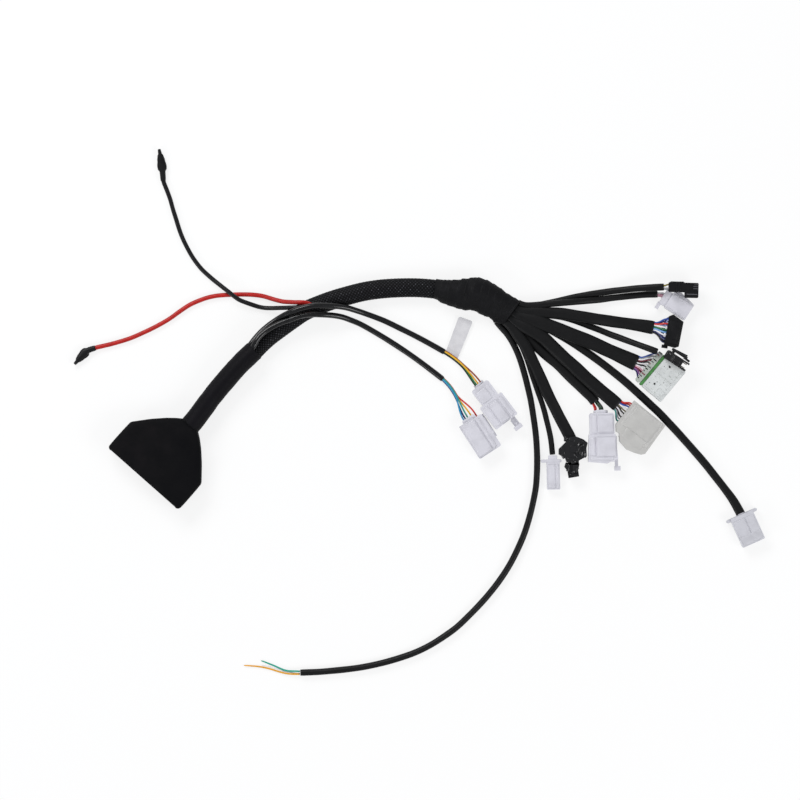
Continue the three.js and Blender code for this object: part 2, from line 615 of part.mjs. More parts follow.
// Single leads: both come out of the trunk's braid from above, under the first side branch
const groundRoute = [
  [305.6, 309, 17.7], [298.4, 307.7, 16.2], [291, 307.8, 13.6], [284.5, 308, 10.6], [278.3, 308.1, 7.8],
  [271.8, 308.2, 5.2], [265.5, 308, 3.6], [260, 307.2, 3], [254.6, 305.6, 3.6], [247, 303, 5.4],
  [240, 300.2, 6.9], [234.6, 296.6, 7.4], [229.3, 292.3, 7.1], [222.4, 286.9, 5.6], [215.4, 281.4, 3.7],
  [208, 275.1, 2.5], [201, 268.4, 2.3], [193.6, 258.6, 2.3], [188.6, 250.2, 2.3], [183.5, 240, 2.3],
  [179.4, 229.6, 2.3], [176.3, 219.6, 2.3], [173, 209, 2.3], [170.2, 199, 2.3], [166.4, 188.8, 2.3],
  [163.8, 182.2, 2.3],
];
const powerRoute = [
  [313.6, 308.6, 17.7], [311.2, 305.4, 17.4], [306.6, 303.1, 16.6], [301, 302.6, 15.4],
  [296, 302.6, 13.6], [290, 302.3, 11], [283.4, 301.8, 8], [278, 300.6, 5.6], [273, 299.2, 3.8],
  [263, 296.2, 2.4], [252.8, 294.8, 2.3], [240, 294.5, 2.3], [231.3, 294.8, 2.3], [223, 295.2, 2.3],
  [215.4, 296, 2.3], [208, 297.6, 2.3], [201, 300, 2.3], [189.9, 304.8, 2.3], [178.7, 312.2, 2.3],
  [171.4, 317.6, 2.3], [164.4, 322, 2.3], [154, 327.6, 2.3], [143.6, 332.6, 2.3], [129.3, 338.7, 2.3],
  [111.7, 343.9, 2.3], [96.4, 347.6, 2.3],
];
const groundCoverRoute = [[163.4, 181, 2.9], [162.6, 171, 2.9], [161.2, 160, 2.9], [159.3, 149.3, 2.9]];
const powerCoverRoute = [[95.6, 347.9, 2.9], [88, 350.6, 2.9], [81.6, 356.4, 2.9], [74.8, 364.2, 2.9]];

// Width of a terminal cover along its length, as shares of it from the lead to the tip
const coverProfile = [[0, 5.8], [0.26, 6.2], [0.38, 9.6], [0.68, 8], [0.86, 5], [1, 4.2]];

function coverWidth(share) {
  for (let i = 1; i < coverProfile.length; i += 1) {
    const [from, narrow] = coverProfile[i - 1];
    const [to, wide] = coverProfile[i];
    if (share <= to) return THREE.MathUtils.mapLinear(share, from, to, narrow, wide);
  }
  return coverProfile[coverProfile.length - 1][1];
}

function terminal(name, route) {
  const curve = curveThrough(route);
  const length = curve.getLength();
  const cover = ovalTube(curve, (distance) => [coverWidth(distance / length), COVER_THICKNESS], 12, 3.4);
  const tip = curve.getPointAt(1);
  const inward = curve.getTangentAt(1).negate();
  const bored = new THREE.LineCurve3(
    tip.clone().addScaledVector(inward, -2),
    tip.clone().addScaledVector(inward, CONTACT_LENGTH + GAP),
  );
  const held = new THREE.LineCurve3(
    tip.clone().addScaledVector(inward, GAP),
    tip.clone().addScaledVector(inward, CONTACT_LENGTH),
  );
  const hole = ovalTube(bored, () => [CONTACT_DIAMETER + 2 * GAP, CONTACT_DIAMETER + 2 * GAP], 8, 20);
  const contact = ovalTube(held, () => [CONTACT_DIAMETER, CONTACT_DIAMETER], 8, 20);
  addPiece(harness, `${name}_cover`, cut(cover, hole), finish(0x18181b, 0.45));
  addPiece(harness, `${name}_contact`, contact, tinPlate());
}

function singleLeads() {
  const ground = roundCord(groundRoute, LEAD_DIAMETER, 8, 1.6);
  const power = roundCord(powerRoute, LEAD_DIAMETER, 8, 1.6);
  addPiece(harness, 'ground_lead', ground, finish(0x17171a, 0.35));
  addPiece(harness, 'power_lead', power, finish(0xc0281f, 0.35));
  terminal('ground_terminal', groundCoverRoute);
  terminal('power_terminal', powerCoverRoute);
}

// Label flag under the wires of the first side branch
function labelFlag() {
  const corners = [[458.8, 316.4], [472.9, 321.3], [457.1, 360.3], [444.7, 354.5]];
  const outline = corners.map((corner) => onSheet(corner)).map(({ x, y }) => [x, y]);
  const film = prism(outline, LABEL_HEIGHT, LABEL_HEIGHT + LABEL_THICKNESS);
  addPiece(harness, 'label_flag', film, finish(0xd9d8dc, 0.5));
}

// Connectors: in each frame +X runs from the wires to the mating face
function sideConnector1() {
  const frame = frameAt([479.1, 385.5], -52.7);
  const rear = chamferedBlock(0, 18.6, -10, 10, 0, HEIGHT_SIDE_1, 1.4);
  const front = chamferedBlock(18.3, 45.6, -13.5, 13.5, 0, HEIGHT_SIDE_1, 1);
  const arm = block(40, 58, 3.4, 9.4, 5, 8);
  const hook = block(54.4, 58.8, 1.6, 10.4, 5, 9.6);
  const body = join(rear, front, arm, hook);
  const contacts = slots({
    from: 36.6, to: 47, columns: 2, pitch: 10.4, width: 7.4, height: 4.4, y: -1.2, z: HEIGHT_SIDE_1 / 2,
  });
  addPiece(frame, 'side_connector_1', cut(body, ...contacts), whiteNylon());
}

function sideConnector2() {
  const frame = frameAt([467.5, 417.5], -57);
  const rear = chamferedBlock(0, 4.4, -7, 7, 1.5, HEIGHT_SIDE_2 - 1.5, 1);
  const body = chamferedBlock(4, 41.6, -12.5, 13.3, 0, HEIGHT_SIDE_2, 1);
  const ridge = block(5, 31, 12, 15, 3.4, 8.6);
  const mouth = shroudCavity(20, 43, -12.5, 13.3, HEIGHT_SIDE_2);
  addPiece(frame, 'side_connector_2', cut(join(rear, body, ridge), mouth), whiteNylon());
}

function connector01() {
  const frame = frameAt([667.8, 287.2, HEIGHT_02 + GAP], -1.5);
  const rear = chamferedBlock(0, 17, -5, 4.8, 0, HEIGHT_01, 0.8);
  const front = chamferedBlock(16.2, 29.8, -10.4, 4.6, 0, HEIGHT_01, 0.8);
  const ledge = block(2, 15, 4.4, 5.6, 2, 6);
  const contacts = slots({
    from: 23.8, to: 31, columns: 3, pitch: 4.2, width: 2.6, height: 4.6, y: -2.9, z: HEIGHT_01 / 2,
  });
  addPiece(frame, 'branch_01_connector', cut(join(rear, front, ledge), ...contacts), blackPlastic());
}

function connector02() {
  const frame = frameAt([666.3, 298.2], -33);
  const rear = chamferedBlock(-4.2, 3.4, -8.4, 7.4, 1, HEIGHT_02 - 1, 1);
  const body = chamferedBlock(3, 27, -9.4, 9.2, 0, HEIGHT_02, 0.8);
  const lever = block(-5.2, -1.4, -14.4, -7, 2.6, 5.6);
  const mouth = shroudCavity(12, 28, -9.4, 9.2, HEIGHT_02);
  addPiece(frame, 'branch_02_connector', cut(join(rear, body, lever), mouth), whiteNylon());
}

function connector03() {
  const frame = frameAt([666, 330.5], -9.8);
  const body = prism([
    [0, -14.7], [11.3, -15.8], [14.6, -14], [15.2, 11.2], [4.1, 16.8], [0.3, 14.5],
  ], 0, HEIGHT_03);
  const latch = block(-2, 4, -17.8, -14.5, 5, 9);
  const contacts = slots({
    from: 8, to: 17, columns: 5, rows: 2, pitch: 4.6, rowPitch: 6, width: 3, height: 2.6, y: -1.4,
    z: HEIGHT_03 / 2,
  });
  addPiece(frame, 'branch_03_connector', cut(join(body, latch), ...contacts), blackPlastic());
}

function connector04() {
  const frame = frameAt([664.5, 353.6, HEIGHT_05 + GAP], -33);
  const body = chamferedBlock(0, 19.5, -4.5, 4.5, 0, HEIGHT_04, 0.8);
  const upperProng = block(18, 26, 2.8, 4.5, 1.4, 6);
  const lowerProng = block(18, 26, -4.5, -2.8, 1.4, 6);
  const bridge = block(4.6, 7, 4, 8.4, 2, 5.4);
  const arm = block(4.6, 21, 6.2, 8.8, 2, 5.4);
  addPiece(frame, 'branch_04_connector', join(body, upperProng, lowerProng, bridge, arm), blackPlastic());
}

// Big clear connector: a rear cover, a seal and a housing, one behind the other
const BIG_COVER_LENGTH = 5.6;
const BIG_SEAL_LENGTH = 2.8;
const BIG_HOUSING_LENGTH = 25;
const BIG_WIDTH = 37.6;

function connector05() {
  const frame = frameAt([646.6, 365.4], -40);
  const half = BIG_WIDTH / 2;
  const sealStart = BIG_COVER_LENGTH + GAP;
  const housingStart = sealStart + BIG_SEAL_LENGTH + GAP;
  const housingEnd = housingStart + BIG_HOUSING_LENGTH;
  const contacts = slots({
    from: housingEnd - 8, to: housingEnd + 1, columns: 6, rows: 2, pitch: 5.4, rowPitch: 6.2,
    width: 3.2, height: 2.8, z: HEIGHT_05 / 2,
  });
  const cover = cut(
    chamferedBlock(0, BIG_COVER_LENGTH, -half, half, 0.4, HEIGHT_05 - 0.4, 1.4),
    block(-1, 3, -half + 2, half - 2, 3, HEIGHT_05 - 3),
  );
  const sealEnd = sealStart + BIG_SEAL_LENGTH;
  const seal = chamferedBlock(sealStart, sealEnd, -half - 0.6, half + 0.6, 0, HEIGHT_05, 0.8);
  const housing = cut(
    chamferedBlock(housingStart, housingEnd, -half - 0.6, half + 0.6, 0, HEIGHT_05, 1),
    ...contacts,
  );
  addPiece(frame, 'branch_05_rear_cover', cover, finish(0x9aa39b, 0.4));
  addPiece(frame, 'branch_05_seal', seal, finish(0x3f8a3f, 0.6));
  addPiece(frame, 'branch_05_housing', housing, clearNylon());
}

function connector06() {
  const frame = frameAt([740.5, 514], -65.8);
  const flange = chamferedBlock(0, 3.2, -16.5, 16.5, 2, HEIGHT_06 - 2, 1);
  const body = chamferedBlock(0.4, 31.6, -12.1, 12.1, 0, HEIGHT_06, 0.8);
  const mouth = shroudCavity(10, 33, -12.1, 12.1, HEIGHT_06);
  addPiece(frame, 'branch_06_connector', cut(join(flange, body), mouth), whiteNylon());
}

function connector07() {
  const frame = frameAt([624.3, 412.2], -38);
  const body = prism([
    [0.4, 15.2], [0.2, -14.8], [5.1, -20.6], [8.6, -20], [13.6, -26.2], [24.5, -28.2], [32.8, -26],
    [38.8, -23.5], [41.5, -20.4], [40.2, 14.4],
  ], 0, HEIGHT_07);
  const contacts = slots({
    from: 32, to: 44, columns: 5, rows: 2, pitch: 5.6, rowPitch: 6.2, width: 3.4, height: 3, y: -3,
    z: HEIGHT_07 / 2,
  });
  addPiece(frame, 'branch_07_connector', cut(body, ...contacts), greyNylon());
}

function connector08() {
  const frame = frameAt([601.2, 412.9], -88.5);
  const dome = chamferedBlock(-3.2, 1.4, -7.4, 4.6, 2, HEIGHT_08 - 2, 2.2);
  const rear = chamferedBlock(0, 22, -12.4, 12.4, 0.6, HEIGHT_08 - 0.6, 1.6);
  const front = prism([
    [21.2, -13.4], [48.6, -14.6], [50.6, 4], [47, 13.4], [46.6, 15.2], [21.2, 13.4],
  ], 0, HEIGHT_08);
  const arm = block(44, 57.6, 12, 15.2, 5, 9);
  const hook = block(53.4, 58, 11.4, 17.6, 5, 9);
  const contacts = slots({
    from: 40.6, to: 53, columns: 3, rows: 2, pitch: 7, rowPitch: 6, width: 4.4, height: 2.4, y: -3,
    z: HEIGHT_08 / 2,
  });
  const body = cut(join(dome, rear, front, arm, hook), ...contacts);
  addPiece(frame, 'branch_08_connector', body, whiteNylon());
}

function connector09() {
  const frame = frameAt([573, 450], 0);
  const body = prism([
    [-9.3, 6.4], [-14.7, 1.1], [-14.7, -4.3], [-8.4, -7.9], [-7, -12], [4.5, -12], [5.4, -10.5],
    [13.4, -6.2], [13, 2], [14.3, 7.3], [9.9, 10.9], [2.7, 13.6], [-3.5, 12.7],
  ], 0, HEIGHT_09);
  const grooves = [0.6, 4, 7.4].map((x) => block(x, x + 1.6, -5, 7, HEIGHT_09 - 2, HEIGHT_09 + 1));
  const nose = prism([
    [-7.5, -12.4], [-8.9, -16.8], [-5.8, -20.8], [-4.6, -28], [5.8, -26.2], [4.9, -19.9], [6.1, -14.1],
    [5.6, -12.4],
  ], 1.4, HEIGHT_09 - 1.6);
  const noseSlots = [-2.6, 1.8].map((x) => block(x - 1.2, x + 1.2, -30, -20, 4, 8));
  addPiece(frame, 'branch_09_connector', cut(body, ...grooves), blackPlastic());
  addPiece(frame, 'branch_09_nose_plug', cut(nose, ...noseSlots), blackPlastic());
}

function connector10() {
  const frame = frameAt([552.6, 455.3], -88.8);
  const neck = chamferedBlock(0, 4.4, -4.6, 4.4, 1, HEIGHT_10 - 1, 0.8);
  const flange = chamferedBlock(4, 7.2, -12, 8.6, 0.6, HEIGHT_10 - 0.6, 0.8);
  const body = chamferedBlock(6.8, 34.2, -6.4, 6.8, 0, HEIGHT_10, 0.6);
  const mouth = block(16, 36, -4.8, 5.2, 1.5, HEIGHT_10 - 1.5);
  addPiece(frame, 'branch_10_connector', cut(join(neck, flange, body), mouth), whiteNylon());
}

// Wires between the sleeves and their connectors
function connectorWires() {
  const fans = [
    {
      name: 'side_wires_1', color: 0x8a5a2a,
      from: [445.1, 352.5, 2.9], heading: -31, to: [478.8, 385.3, 7], toHeading: -52.7,
      count: 4, spreadFrom: 4, spreadTo: 10,
    },
    {
      name: 'side_wires_2', color: 0x24439a,
      from: [443.5, 379.8, 2.9], heading: -42, to: [467.3, 417.2, 6], toHeading: -57,
      count: 4, spreadFrom: 4, spreadTo: 10,
    },
    {
      name: 'branch_01_wires', color: 0x9a9440,
      from: [663.7, 287.3, 13.8], heading: 0, to: [667.3, 287.2, 13.8], toHeading: -1.5,
      count: 2, spreadFrom: 1.6, spreadTo: 1.7,
    },
    {
      name: 'branch_02_wires', color: 0xd8c2cc,
      from: [658.2, 294.2, 3.1], heading: -8, to: [662.4, 295.6, 4.2], toHeading: -33,
      count: 2, spreadFrom: 1.6, spreadTo: 3,
    },
    {
      name: 'branch_03_wires', color: 0x4a64b0,
      from: [653.9, 327.9, 6], heading: -10, to: [665.5, 330.4, 7], toHeading: -9.8,
      count: 7, spreadFrom: 10, spreadTo: 24,
    },
    {
      name: 'branch_05_wires', color: 0x7a5060,
      from: [636.6, 363.4, 7.6], heading: -24, to: [648.4, 366.9, 7.5], toHeading: -40,
      count: 8, spreadFrom: 12, spreadTo: 27,
    },
    {
      name: 'branch_07_wires', color: 0x5a6a90,
      from: [617.9, 405.8, 9.2], heading: -41, to: [624, 411.9, 8.4], toHeading: -38,
      count: 6, spreadFrom: 8.2, spreadTo: 20,
    },
    {
      name: 'branch_08_wires', color: 0xb02820,
      from: [595.3, 402.8, 3.2], heading: -60, to: [600, 409.2, 6], toHeading: -88.5,
      count: 2, spreadFrom: 1.6, spreadTo: 4,
    },
  ];
  for (const fan of fans) addPiece(harness, fan.name, wireFan(fan), finish(fan.color, 0.4));
}

function trunkPieces() {
  const behindMouth = [163.5, 456.2, 11];
  const passageCurve = curveThrough([behindMouth, ...bundleRoute.slice(0, 6)]);
  const passage = ovalTube(passageCurve, bundleClearance, 12, 16);
  const bootFrame = frameAt(BOOT_MOUTH_AT, BOOT_HEADING);
  bootFrame.updateMatrixWorld();
  passage.applyMatrix4(bootFrame.matrixWorld.clone().invert());
  addPiece(bootFrame, 'boot', bootShell(passage), bootRubber());
  addPiece(bootFrame, 'boot_contact_block', contactBlock(), blackPlastic());
  addPiece(harness, 'neck_tube', neckTube(), shrinkTube());
  addPiece(harness, 'trunk_braid', trunkBraid(), braidFabric());
  addPiece(harness, 'wire_bundle', ovalTube(bundleCurve, bundleSize, 12, 12), finish(0x303038, 0.5));
  addPiece(harness, 'junction_tape', junctionTape(), clothTape());
}

trunkPieces();
fanBranches();
longBranch();
sideBranches();
singleLeads();
labelFlag();
sideConnector1();
sideConnector2();
connector01();
connector02();
connector03();
connector04();
connector05();
connector06();
connector07();
connector08();
connector09();
connector10();
connectorWires();

export default harness;
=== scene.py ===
"""Looks for the wiring harness: woven braid, wound tape, sleeves, coloured wires and moulded connectors.

Places are read on the same layout sheet as the CAD: x runs right from its left edge and y runs down from
its top edge, both in millimetres, and z is the height over the table. Blender works in metres.
"""
import math

import bmesh
import bpy
from mathutils import Euler, Matrix, Vector, noise


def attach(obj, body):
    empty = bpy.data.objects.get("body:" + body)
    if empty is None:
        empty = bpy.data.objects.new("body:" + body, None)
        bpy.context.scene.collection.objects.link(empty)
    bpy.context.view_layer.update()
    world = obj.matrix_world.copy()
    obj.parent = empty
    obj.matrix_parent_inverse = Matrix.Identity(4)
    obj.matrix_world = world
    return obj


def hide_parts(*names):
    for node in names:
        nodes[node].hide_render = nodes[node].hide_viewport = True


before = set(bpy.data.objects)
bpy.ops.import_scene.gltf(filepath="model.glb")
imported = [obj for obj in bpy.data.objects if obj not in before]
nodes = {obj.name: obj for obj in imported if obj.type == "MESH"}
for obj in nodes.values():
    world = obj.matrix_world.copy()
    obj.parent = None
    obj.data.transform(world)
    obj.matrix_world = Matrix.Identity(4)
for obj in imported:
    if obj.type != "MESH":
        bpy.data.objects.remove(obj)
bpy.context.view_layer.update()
bpy.context.scene.view_settings.view_transform = "Standard"

MM = 0.001
ORIGIN_X = 315
ORIGIN_Y = 393
UP = Vector((0, 0, 1))
SHARP_ANGLE = math.radians(50)
SPAN_POINTS = 12


# Places and curves
def on_sheet(point):
    x, y, z = (*point, 0)[:3]
    return Vector((x - ORIGIN_X, ORIGIN_Y - y, z)) * MM


def with_heights(points):
    """Points (x, y, z), where one without a height keeps the height before it."""
    out = []
    for x, y, *z in points:
        out.append((x, y, z[0] if z else out[-1][2]))
    return out


def spline_piece(p0, p1, p2, p3, share):
    """One centripetal span between p1 and p2, as the CAD draws its routes."""
    d0, d1, d2 = (max((b - a).length, 1e-9) ** 0.5 for a, b in ((p0, p1), (p1, p2), (p2, p3)))
    t1 = ((p1 - p0) / d0 - (p2 - p0) / (d0 + d1) + (p2 - p1) / d1) * d1
    t2 = ((p2 - p1) / d1 - (p3 - p1) / (d1 + d2) + (p3 - p2) / d2) * d1
    c2 = -3 * p1 + 3 * p2 - 2 * t1 - t2
    c3 = 2 * p1 - 2 * p2 + t1 + t2
    return p1 + t1 * share + c2 * share**2 + c3 * share**3


def padded(points):
    """The points with one more beyond each end, which the first and last span need."""
    return [2 * points[0] - points[1], *points, 2 * points[-1] - points[-2]]


def marks_along(points):
    """How far along the line each point lies."""
    marks = [0.0]
    for a, b in zip(points, points[1:]):
        marks.append(marks[-1] + (b - a).length)
    return marks


def smooth_line(points, step):
    """The curve through points, as points step apart."""
    ends = padded(points)
    fine = [spline_piece(*ends[i : i + 4], k / SPAN_POINTS)
            for i in range(len(points) - 1) for k in range(SPAN_POINTS)]
    return even([*fine, points[-1].copy()], step)


def even(points, step):
    """The same line cut into equal pieces of about step."""
    marks = marks_along(points)
    count = max(2, round(marks[-1] / step))
    out = []
    i = 0
    for k in range(count + 1):
        place = marks[-1] * k / count
        while i < len(points) - 2 and marks[i + 1] < place:
            i += 1
        share = (place - marks[i]) / max(marks[i + 1] - marks[i], 1e-12)
        out.append(points[i].lerp(points[i + 1], min(max(share, 0), 1)))
    return out


def line_length(points):
    return sum((b - a).length for a, b in zip(points, points[1:]))


def route(points, step=2.5):
    return smooth_line([on_sheet(p) for p in with_heights(points)], step * MM)


def axes_along(points):
    """Side, up and forward vectors at each point of a line."""
    out = []
    for i in range(len(points)):
        tangent = (points[min(i + 1, len(points) - 1)] - points[max(i - 1, 0)]).normalized()
        side = UP.cross(tangent).normalized()
        out.append((side, tangent.cross(side).normalized(), tangent))
    return out


def smoothstep(x, low, high):
    t = min(max((x - low) / (high - low), 0), 1)
    return t * t * (3 - 2 * t)


def wobble(x, y=0.0, z=0.0):
    return noise.noise(Vector((x, y, z)))


def wobble_around(distance, turn, reach, shift=0.0):
    """Smooth noise on a tube; a longer reach has more bumps around it."""
    return wobble(distance, reach * math.cos(turn), reach * math.sin(turn) + shift)


# Pieces
def linked(name, data):
    thing = bpy.data.objects.new(name, data)
    bpy.context.scene.collection.objects.link(thing)
    return thing


def add_mesh(name, vertices, faces, materials, face_materials=None):
    mesh = bpy.data.meshes.new(name)
    mesh.from_pydata([tuple(v) for v in vertices], [], faces)
    for material in materials:
        mesh.materials.append(material)
    if face_materials:
        mesh.polygons.foreach_set("material_index", face_materials)
    mesh.polygons.foreach_set("use_smooth", [True] * len(mesh.polygons))
    mesh.update()
    piece = linked(name, mesh)
    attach(piece, "root")
    return piece


def stand_in(node):
    """The piece shows instead of a node of the CAD."""
    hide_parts(node)


def recalculate(piece):
    """Turns all face normals outward."""
    work = bmesh.new()
    work.from_mesh(piece.data)
    bmesh.ops.recalc_face_normals(work, faces=work.faces)
    work.to_mesh(piece.data)
    work.free()


def round_edges(piece, width, segments=2, angle=40):
    bevel = piece.modifiers.new("edges", "BEVEL")
    bevel.width = width * MM
    bevel.segments = segments
    bevel.limit_method = "ANGLE"
    bevel.angle_limit = math.radians(angle)
    bevel.harden_normals = False
    bevel.use_clamp_overlap = True


def skin(rings, caps=True):
    """Vertices and faces of a skin through rings of points, closed at its ends by caps."""
    count = len(rings[0])
    vertices = [v for ring in rings for v in ring]
    faces = []
    for r in range(len(rings) - 1):
        for s in range(count):
            a = r * count + s
            b = r * count + (s + 1) % count
            faces.append((a, b, b + count, a + count))
    if caps:
        last = (len(rings) - 1) * count
        faces += [tuple(reversed(range(count))), tuple(range(last, last + count))]
    return vertices, faces


def oval(centre, side, up, width, height, sides, shape=1.0):
    """A ring; shape over 1 makes it squarer."""
    ring = []
    for i in range(sides):
        turn = 2 * math.pi * (i + 0.5) / sides
        c, s = math.cos(turn), math.sin(turn)
        x = math.copysign(abs(c) ** (1 / shape), c)
        y = math.copysign(abs(s) ** (1 / shape), s)
        ring.append(centre + side * (x * width / 2) + up * (y * height / 2))
    return ring


def swell(ring, centre, relief):
    """The ring with each point pushed out from centre by relief(turn) millimetres."""
    turns = (2 * math.pi * k / len(ring) for k in range(len(ring)))
    return [v + (v - centre).normalized() * (relief(turn) * MM) for v, turn in zip(ring, turns)]


def sleeve(name, line, size, materials, sides=20, mouth=5.0, wall=0.55, lumps=0.0, seed=0.0, shape=1.12):
    """A soft tube along a line, open at its far end to the depth mouth. size(share, distance) gives its width
    and height. Sizes, distances and lumps are in millimetres."""
    length = line_length(line) / MM
    rings = []
    frames = axes_along(line)
    for i, (point, (side, up, tangent)) in enumerate(zip(line, frames)):
        share = i / (len(line) - 1)
        distance = share * length
        width, height = size(share, distance)
        ring = oval(point, side, up, width * MM, height * MM, sides, shape)
        if lumps:
            full = lumps * smoothstep(distance, 4, 20)
            drift = distance * 0.05 + seed
            ring = swell(ring, point, lambda turn: full * wobble_around(drift, turn, 0.9, seed))
        rings.append(ring)
    side, up, tangent = frames[-1]
    full_width, full_height = size(1, length)

    def inner(back, inset):
        return oval(line[-1] - tangent * back * MM, side, up, (full_width - inset) * MM,
                    (full_height - inset) * MM, sides, shape)

    rings[-1] = inner(0.15, 0.25)
    rings += [inner(0.0, wall), inner(0.0, 1.5 * wall), inner(0.3, 2 * wall), inner(mouth, 2 * wall)]
    piece = add_mesh(name, *skin(rings), materials)
    piece["line"] = [list(p) for p in line]
    return piece


def tapering(diameter, taper=0.0):
    """The size of a round cord that loses the share taper of its diameter towards its tip."""
    def size(share, distance):
        return (diameter * (1 - taper * share**6),) * 2
    return size


def frame_at(place, heading):
    return Matrix.Translation(on_sheet(place)) @ Matrix.Rotation(math.radians(heading), 4, "Z")


BOX_FACES = ((3, 2, 1, 0), (4, 5, 6, 7), (0, 1, 5, 4), (1, 2, 6, 5), (2, 3, 7, 6), (3, 0, 4, 7))


def blocks(name, at, boxes, materials, width, segments, draft):
    """Moulded details in a connector's own frame: rounded blocks (x0, x1, y0, y1, z0, z1[, material[, tilts
    in degrees]]), their tops drawn in by draft times their height."""
    vertices, faces, indices = [], [], []
    for x0, x1, y0, y1, z0, z1, *more in boxes:
        look, tilts = (*more, *(0, (0, 0, 0))[len(more):])
        start = len(vertices)
        middle = Vector((x0 + x1, y0 + y1, z0 + z1)) / 2
        tilt = Euler([math.radians(a) for a in tilts]).to_matrix()
        top = [min(draft * (z1 - z0), 0.3 * span) for span in (x1 - x0, y1 - y0)]
        for z, (dx, dy) in ((z0, (0, 0)), (z1, top)):
            for x, y in ((x0 + dx, y0 + dy), (x1 - dx, y0 + dy), (x1 - dx, y1 - dy), (x0 + dx, y1 - dy)):
                vertices.append(at @ ((middle + tilt @ (Vector((x, y, z)) - middle)) * MM))
        faces += [tuple(start + k for k in face) for face in BOX_FACES]
        indices += [look] * len(BOX_FACES)
    piece = add_mesh(name, vertices, faces, materials, indices)
    round_edges(piece, width, segments)
    return piece


# Materials
def hexa(text):
    values = [int(text[i : i + 2], 16) / 255 for i in (0, 2, 4)]
    return [v / 12.92 if v <= 0.04045 else ((v + 0.055) / 1.055) ** 2.4 for v in values] + [1]


def shade(color, factor):
    return [min(1.0, c * factor) for c in hexa(color)[:3]] + [1]


class Nodes:
    """A material's node tree, with the few calls that the recipes below share."""

    def __init__(self, name):
        self.material = bpy.data.materials.new(name)
        self.material.use_nodes = True
        self.tree = self.material.node_tree
        self.shader = self.tree.nodes["Principled BSDF"]
        self.place = self.tree.nodes.new("ShaderNodeTexCoord").outputs["Object"]
        self.grains = {}

    def fill(self, made, **values):
        """Sets a node's properties and inputs; an input's name has _ for each space."""
        for key, value in values.items():
            if hasattr(made, key):
                setattr(made, key, value)
            else:
                made.inputs[key.replace("_", " ")].default_value = value

    def node(self, kind, **values):
        made = self.tree.nodes.new(kind)
        self.fill(made, **values)
        return made

    def join(self, source, target):
        self.tree.links.new(source, target)

    def grain(self, scale, detail=4.0, roughness=0.6):
        key = (scale, detail, roughness)
        if key not in self.grains:
            made = self.node("ShaderNodeTexNoise", Scale=scale, Detail=detail, Roughness=roughness)
            self.join(self.place, made.inputs["Vector"])
            self.grains[key] = made.outputs["Fac"]
        return self.grains[key]

    def ramp(self, source, *stops):
        made = self.node("ShaderNodeValToRGB")
        while len(made.color_ramp.elements) < len(stops):
            made.color_ramp.elements.new(0.5)
        for element, (place, color) in zip(made.color_ramp.elements, stops):
            element.position = place
            element.color = hexa(color) if isinstance(color, str) else color
        self.join(source, made.inputs["Fac"])
        return made.outputs["Color"]

    def spread(self, source, low, high, to_low, to_high):
        made = self.node("ShaderNodeMapRange", From_Min=low, From_Max=high, To_Min=to_low, To_Max=to_high)
        self.join(source, made.inputs["Value"])
        return made.outputs["Result"]

    def maths(self, operation, *sources):
        made = self.node("ShaderNodeMath", operation=operation)
        for source, target in zip(sources, made.inputs):
            self.join(source, target)
        return made

    def color(self, source, *stops):
        self.join(self.ramp(source, *stops), self.shader.inputs["Base Color"])

    def rough(self, source, *limits):
        self.join(self.spread(source, *limits), self.shader.inputs["Roughness"])

    def bump(self, *layers):
        """Layers of (height, distance in millimetres, strength)."""
        normal = None
        for height, distance, strength in layers:
            made = self.node("ShaderNodeBump", Strength=strength, Distance=distance * MM)
            self.join(height, made.inputs["Height"])
            if normal:
                self.join(normal, made.inputs["Normal"])
            normal = made.outputs["Normal"]
        self.join(normal, self.shader.inputs["Normal"])


def surface(name, color, rough, relief, **inputs):
    """A skin of grains (scale, detail, roughness). color has a grain and its stops, rough a grain and its
    limits, and each layer of relief a grain, a distance in millimetres and a strength."""
    n = Nodes(name)
    n.color(n.grain(*color[0]), *color[1:])
    n.rough(n.grain(*rough[0]), *rough[1:])
    n.fill(n.shader, **inputs)
    n.bump(*((n.grain(*grain), *layer) for grain, *layer in relief))
    return n.material


def plastic(name, color, rough=0.4, specular=0.5, vary=0.12, scale=220, relief=0.03):
    """Moulded or extruded plastic: slow colour drift, fine grain, uneven gloss."""
    drift, fine = (scale, 3.0), (900, 3.0, 0.65)
    return surface(name, (drift, (0.3, shade(color, 1 - vary)), (0.7, shade(color, 1 + vary))),
                   (fine, 0.3, 0.7, max(rough - 0.07, 0.05), rough + 0.07),
                   [(fine, relief, 0.5), (drift, relief * 3, 0.3)], Specular_IOR_Level=specular)


def sleeve_material(name, color, rough, specular=0.2):
    """Soft extruded sleeve: faint ripple, scuffs and a low sheen."""
    scuffs = (650, 5.0, 0.7)
    return surface(name, ((70, 5.0), (0.28, shade(color, 0.75)), (0.55, color), (0.78, shade(color, 1.35))),
                   (scuffs, 0.35, 0.7, rough - 0.08, rough + 0.12),
                   [(scuffs, 0.05, 0.4), ((160, 2.0), 0.25, 0.35)], Specular_IOR_Level=specular)


def nylon_material(name, color, rough, scatter=0.12):
    """Natural nylon: milky, with flow marks and a slightly uneven gloss."""
    flow, fine = (75, 5.0, 0.55), (1300, 3.0)
    return surface(name, (flow, (0.3, shade(color, 0.9)), (0.5, color), (0.72, shade(color, 1.06))),
                   (fine, 0.3, 0.7, rough - 0.08, rough + 0.08), [(fine, 0.02, 0.4), (flow, 0.2, 0.3)],
                   Subsurface_Weight=scatter, Subsurface_Radius=(1.0, 1.0, 1.0), Subsurface_Scale=0.003)


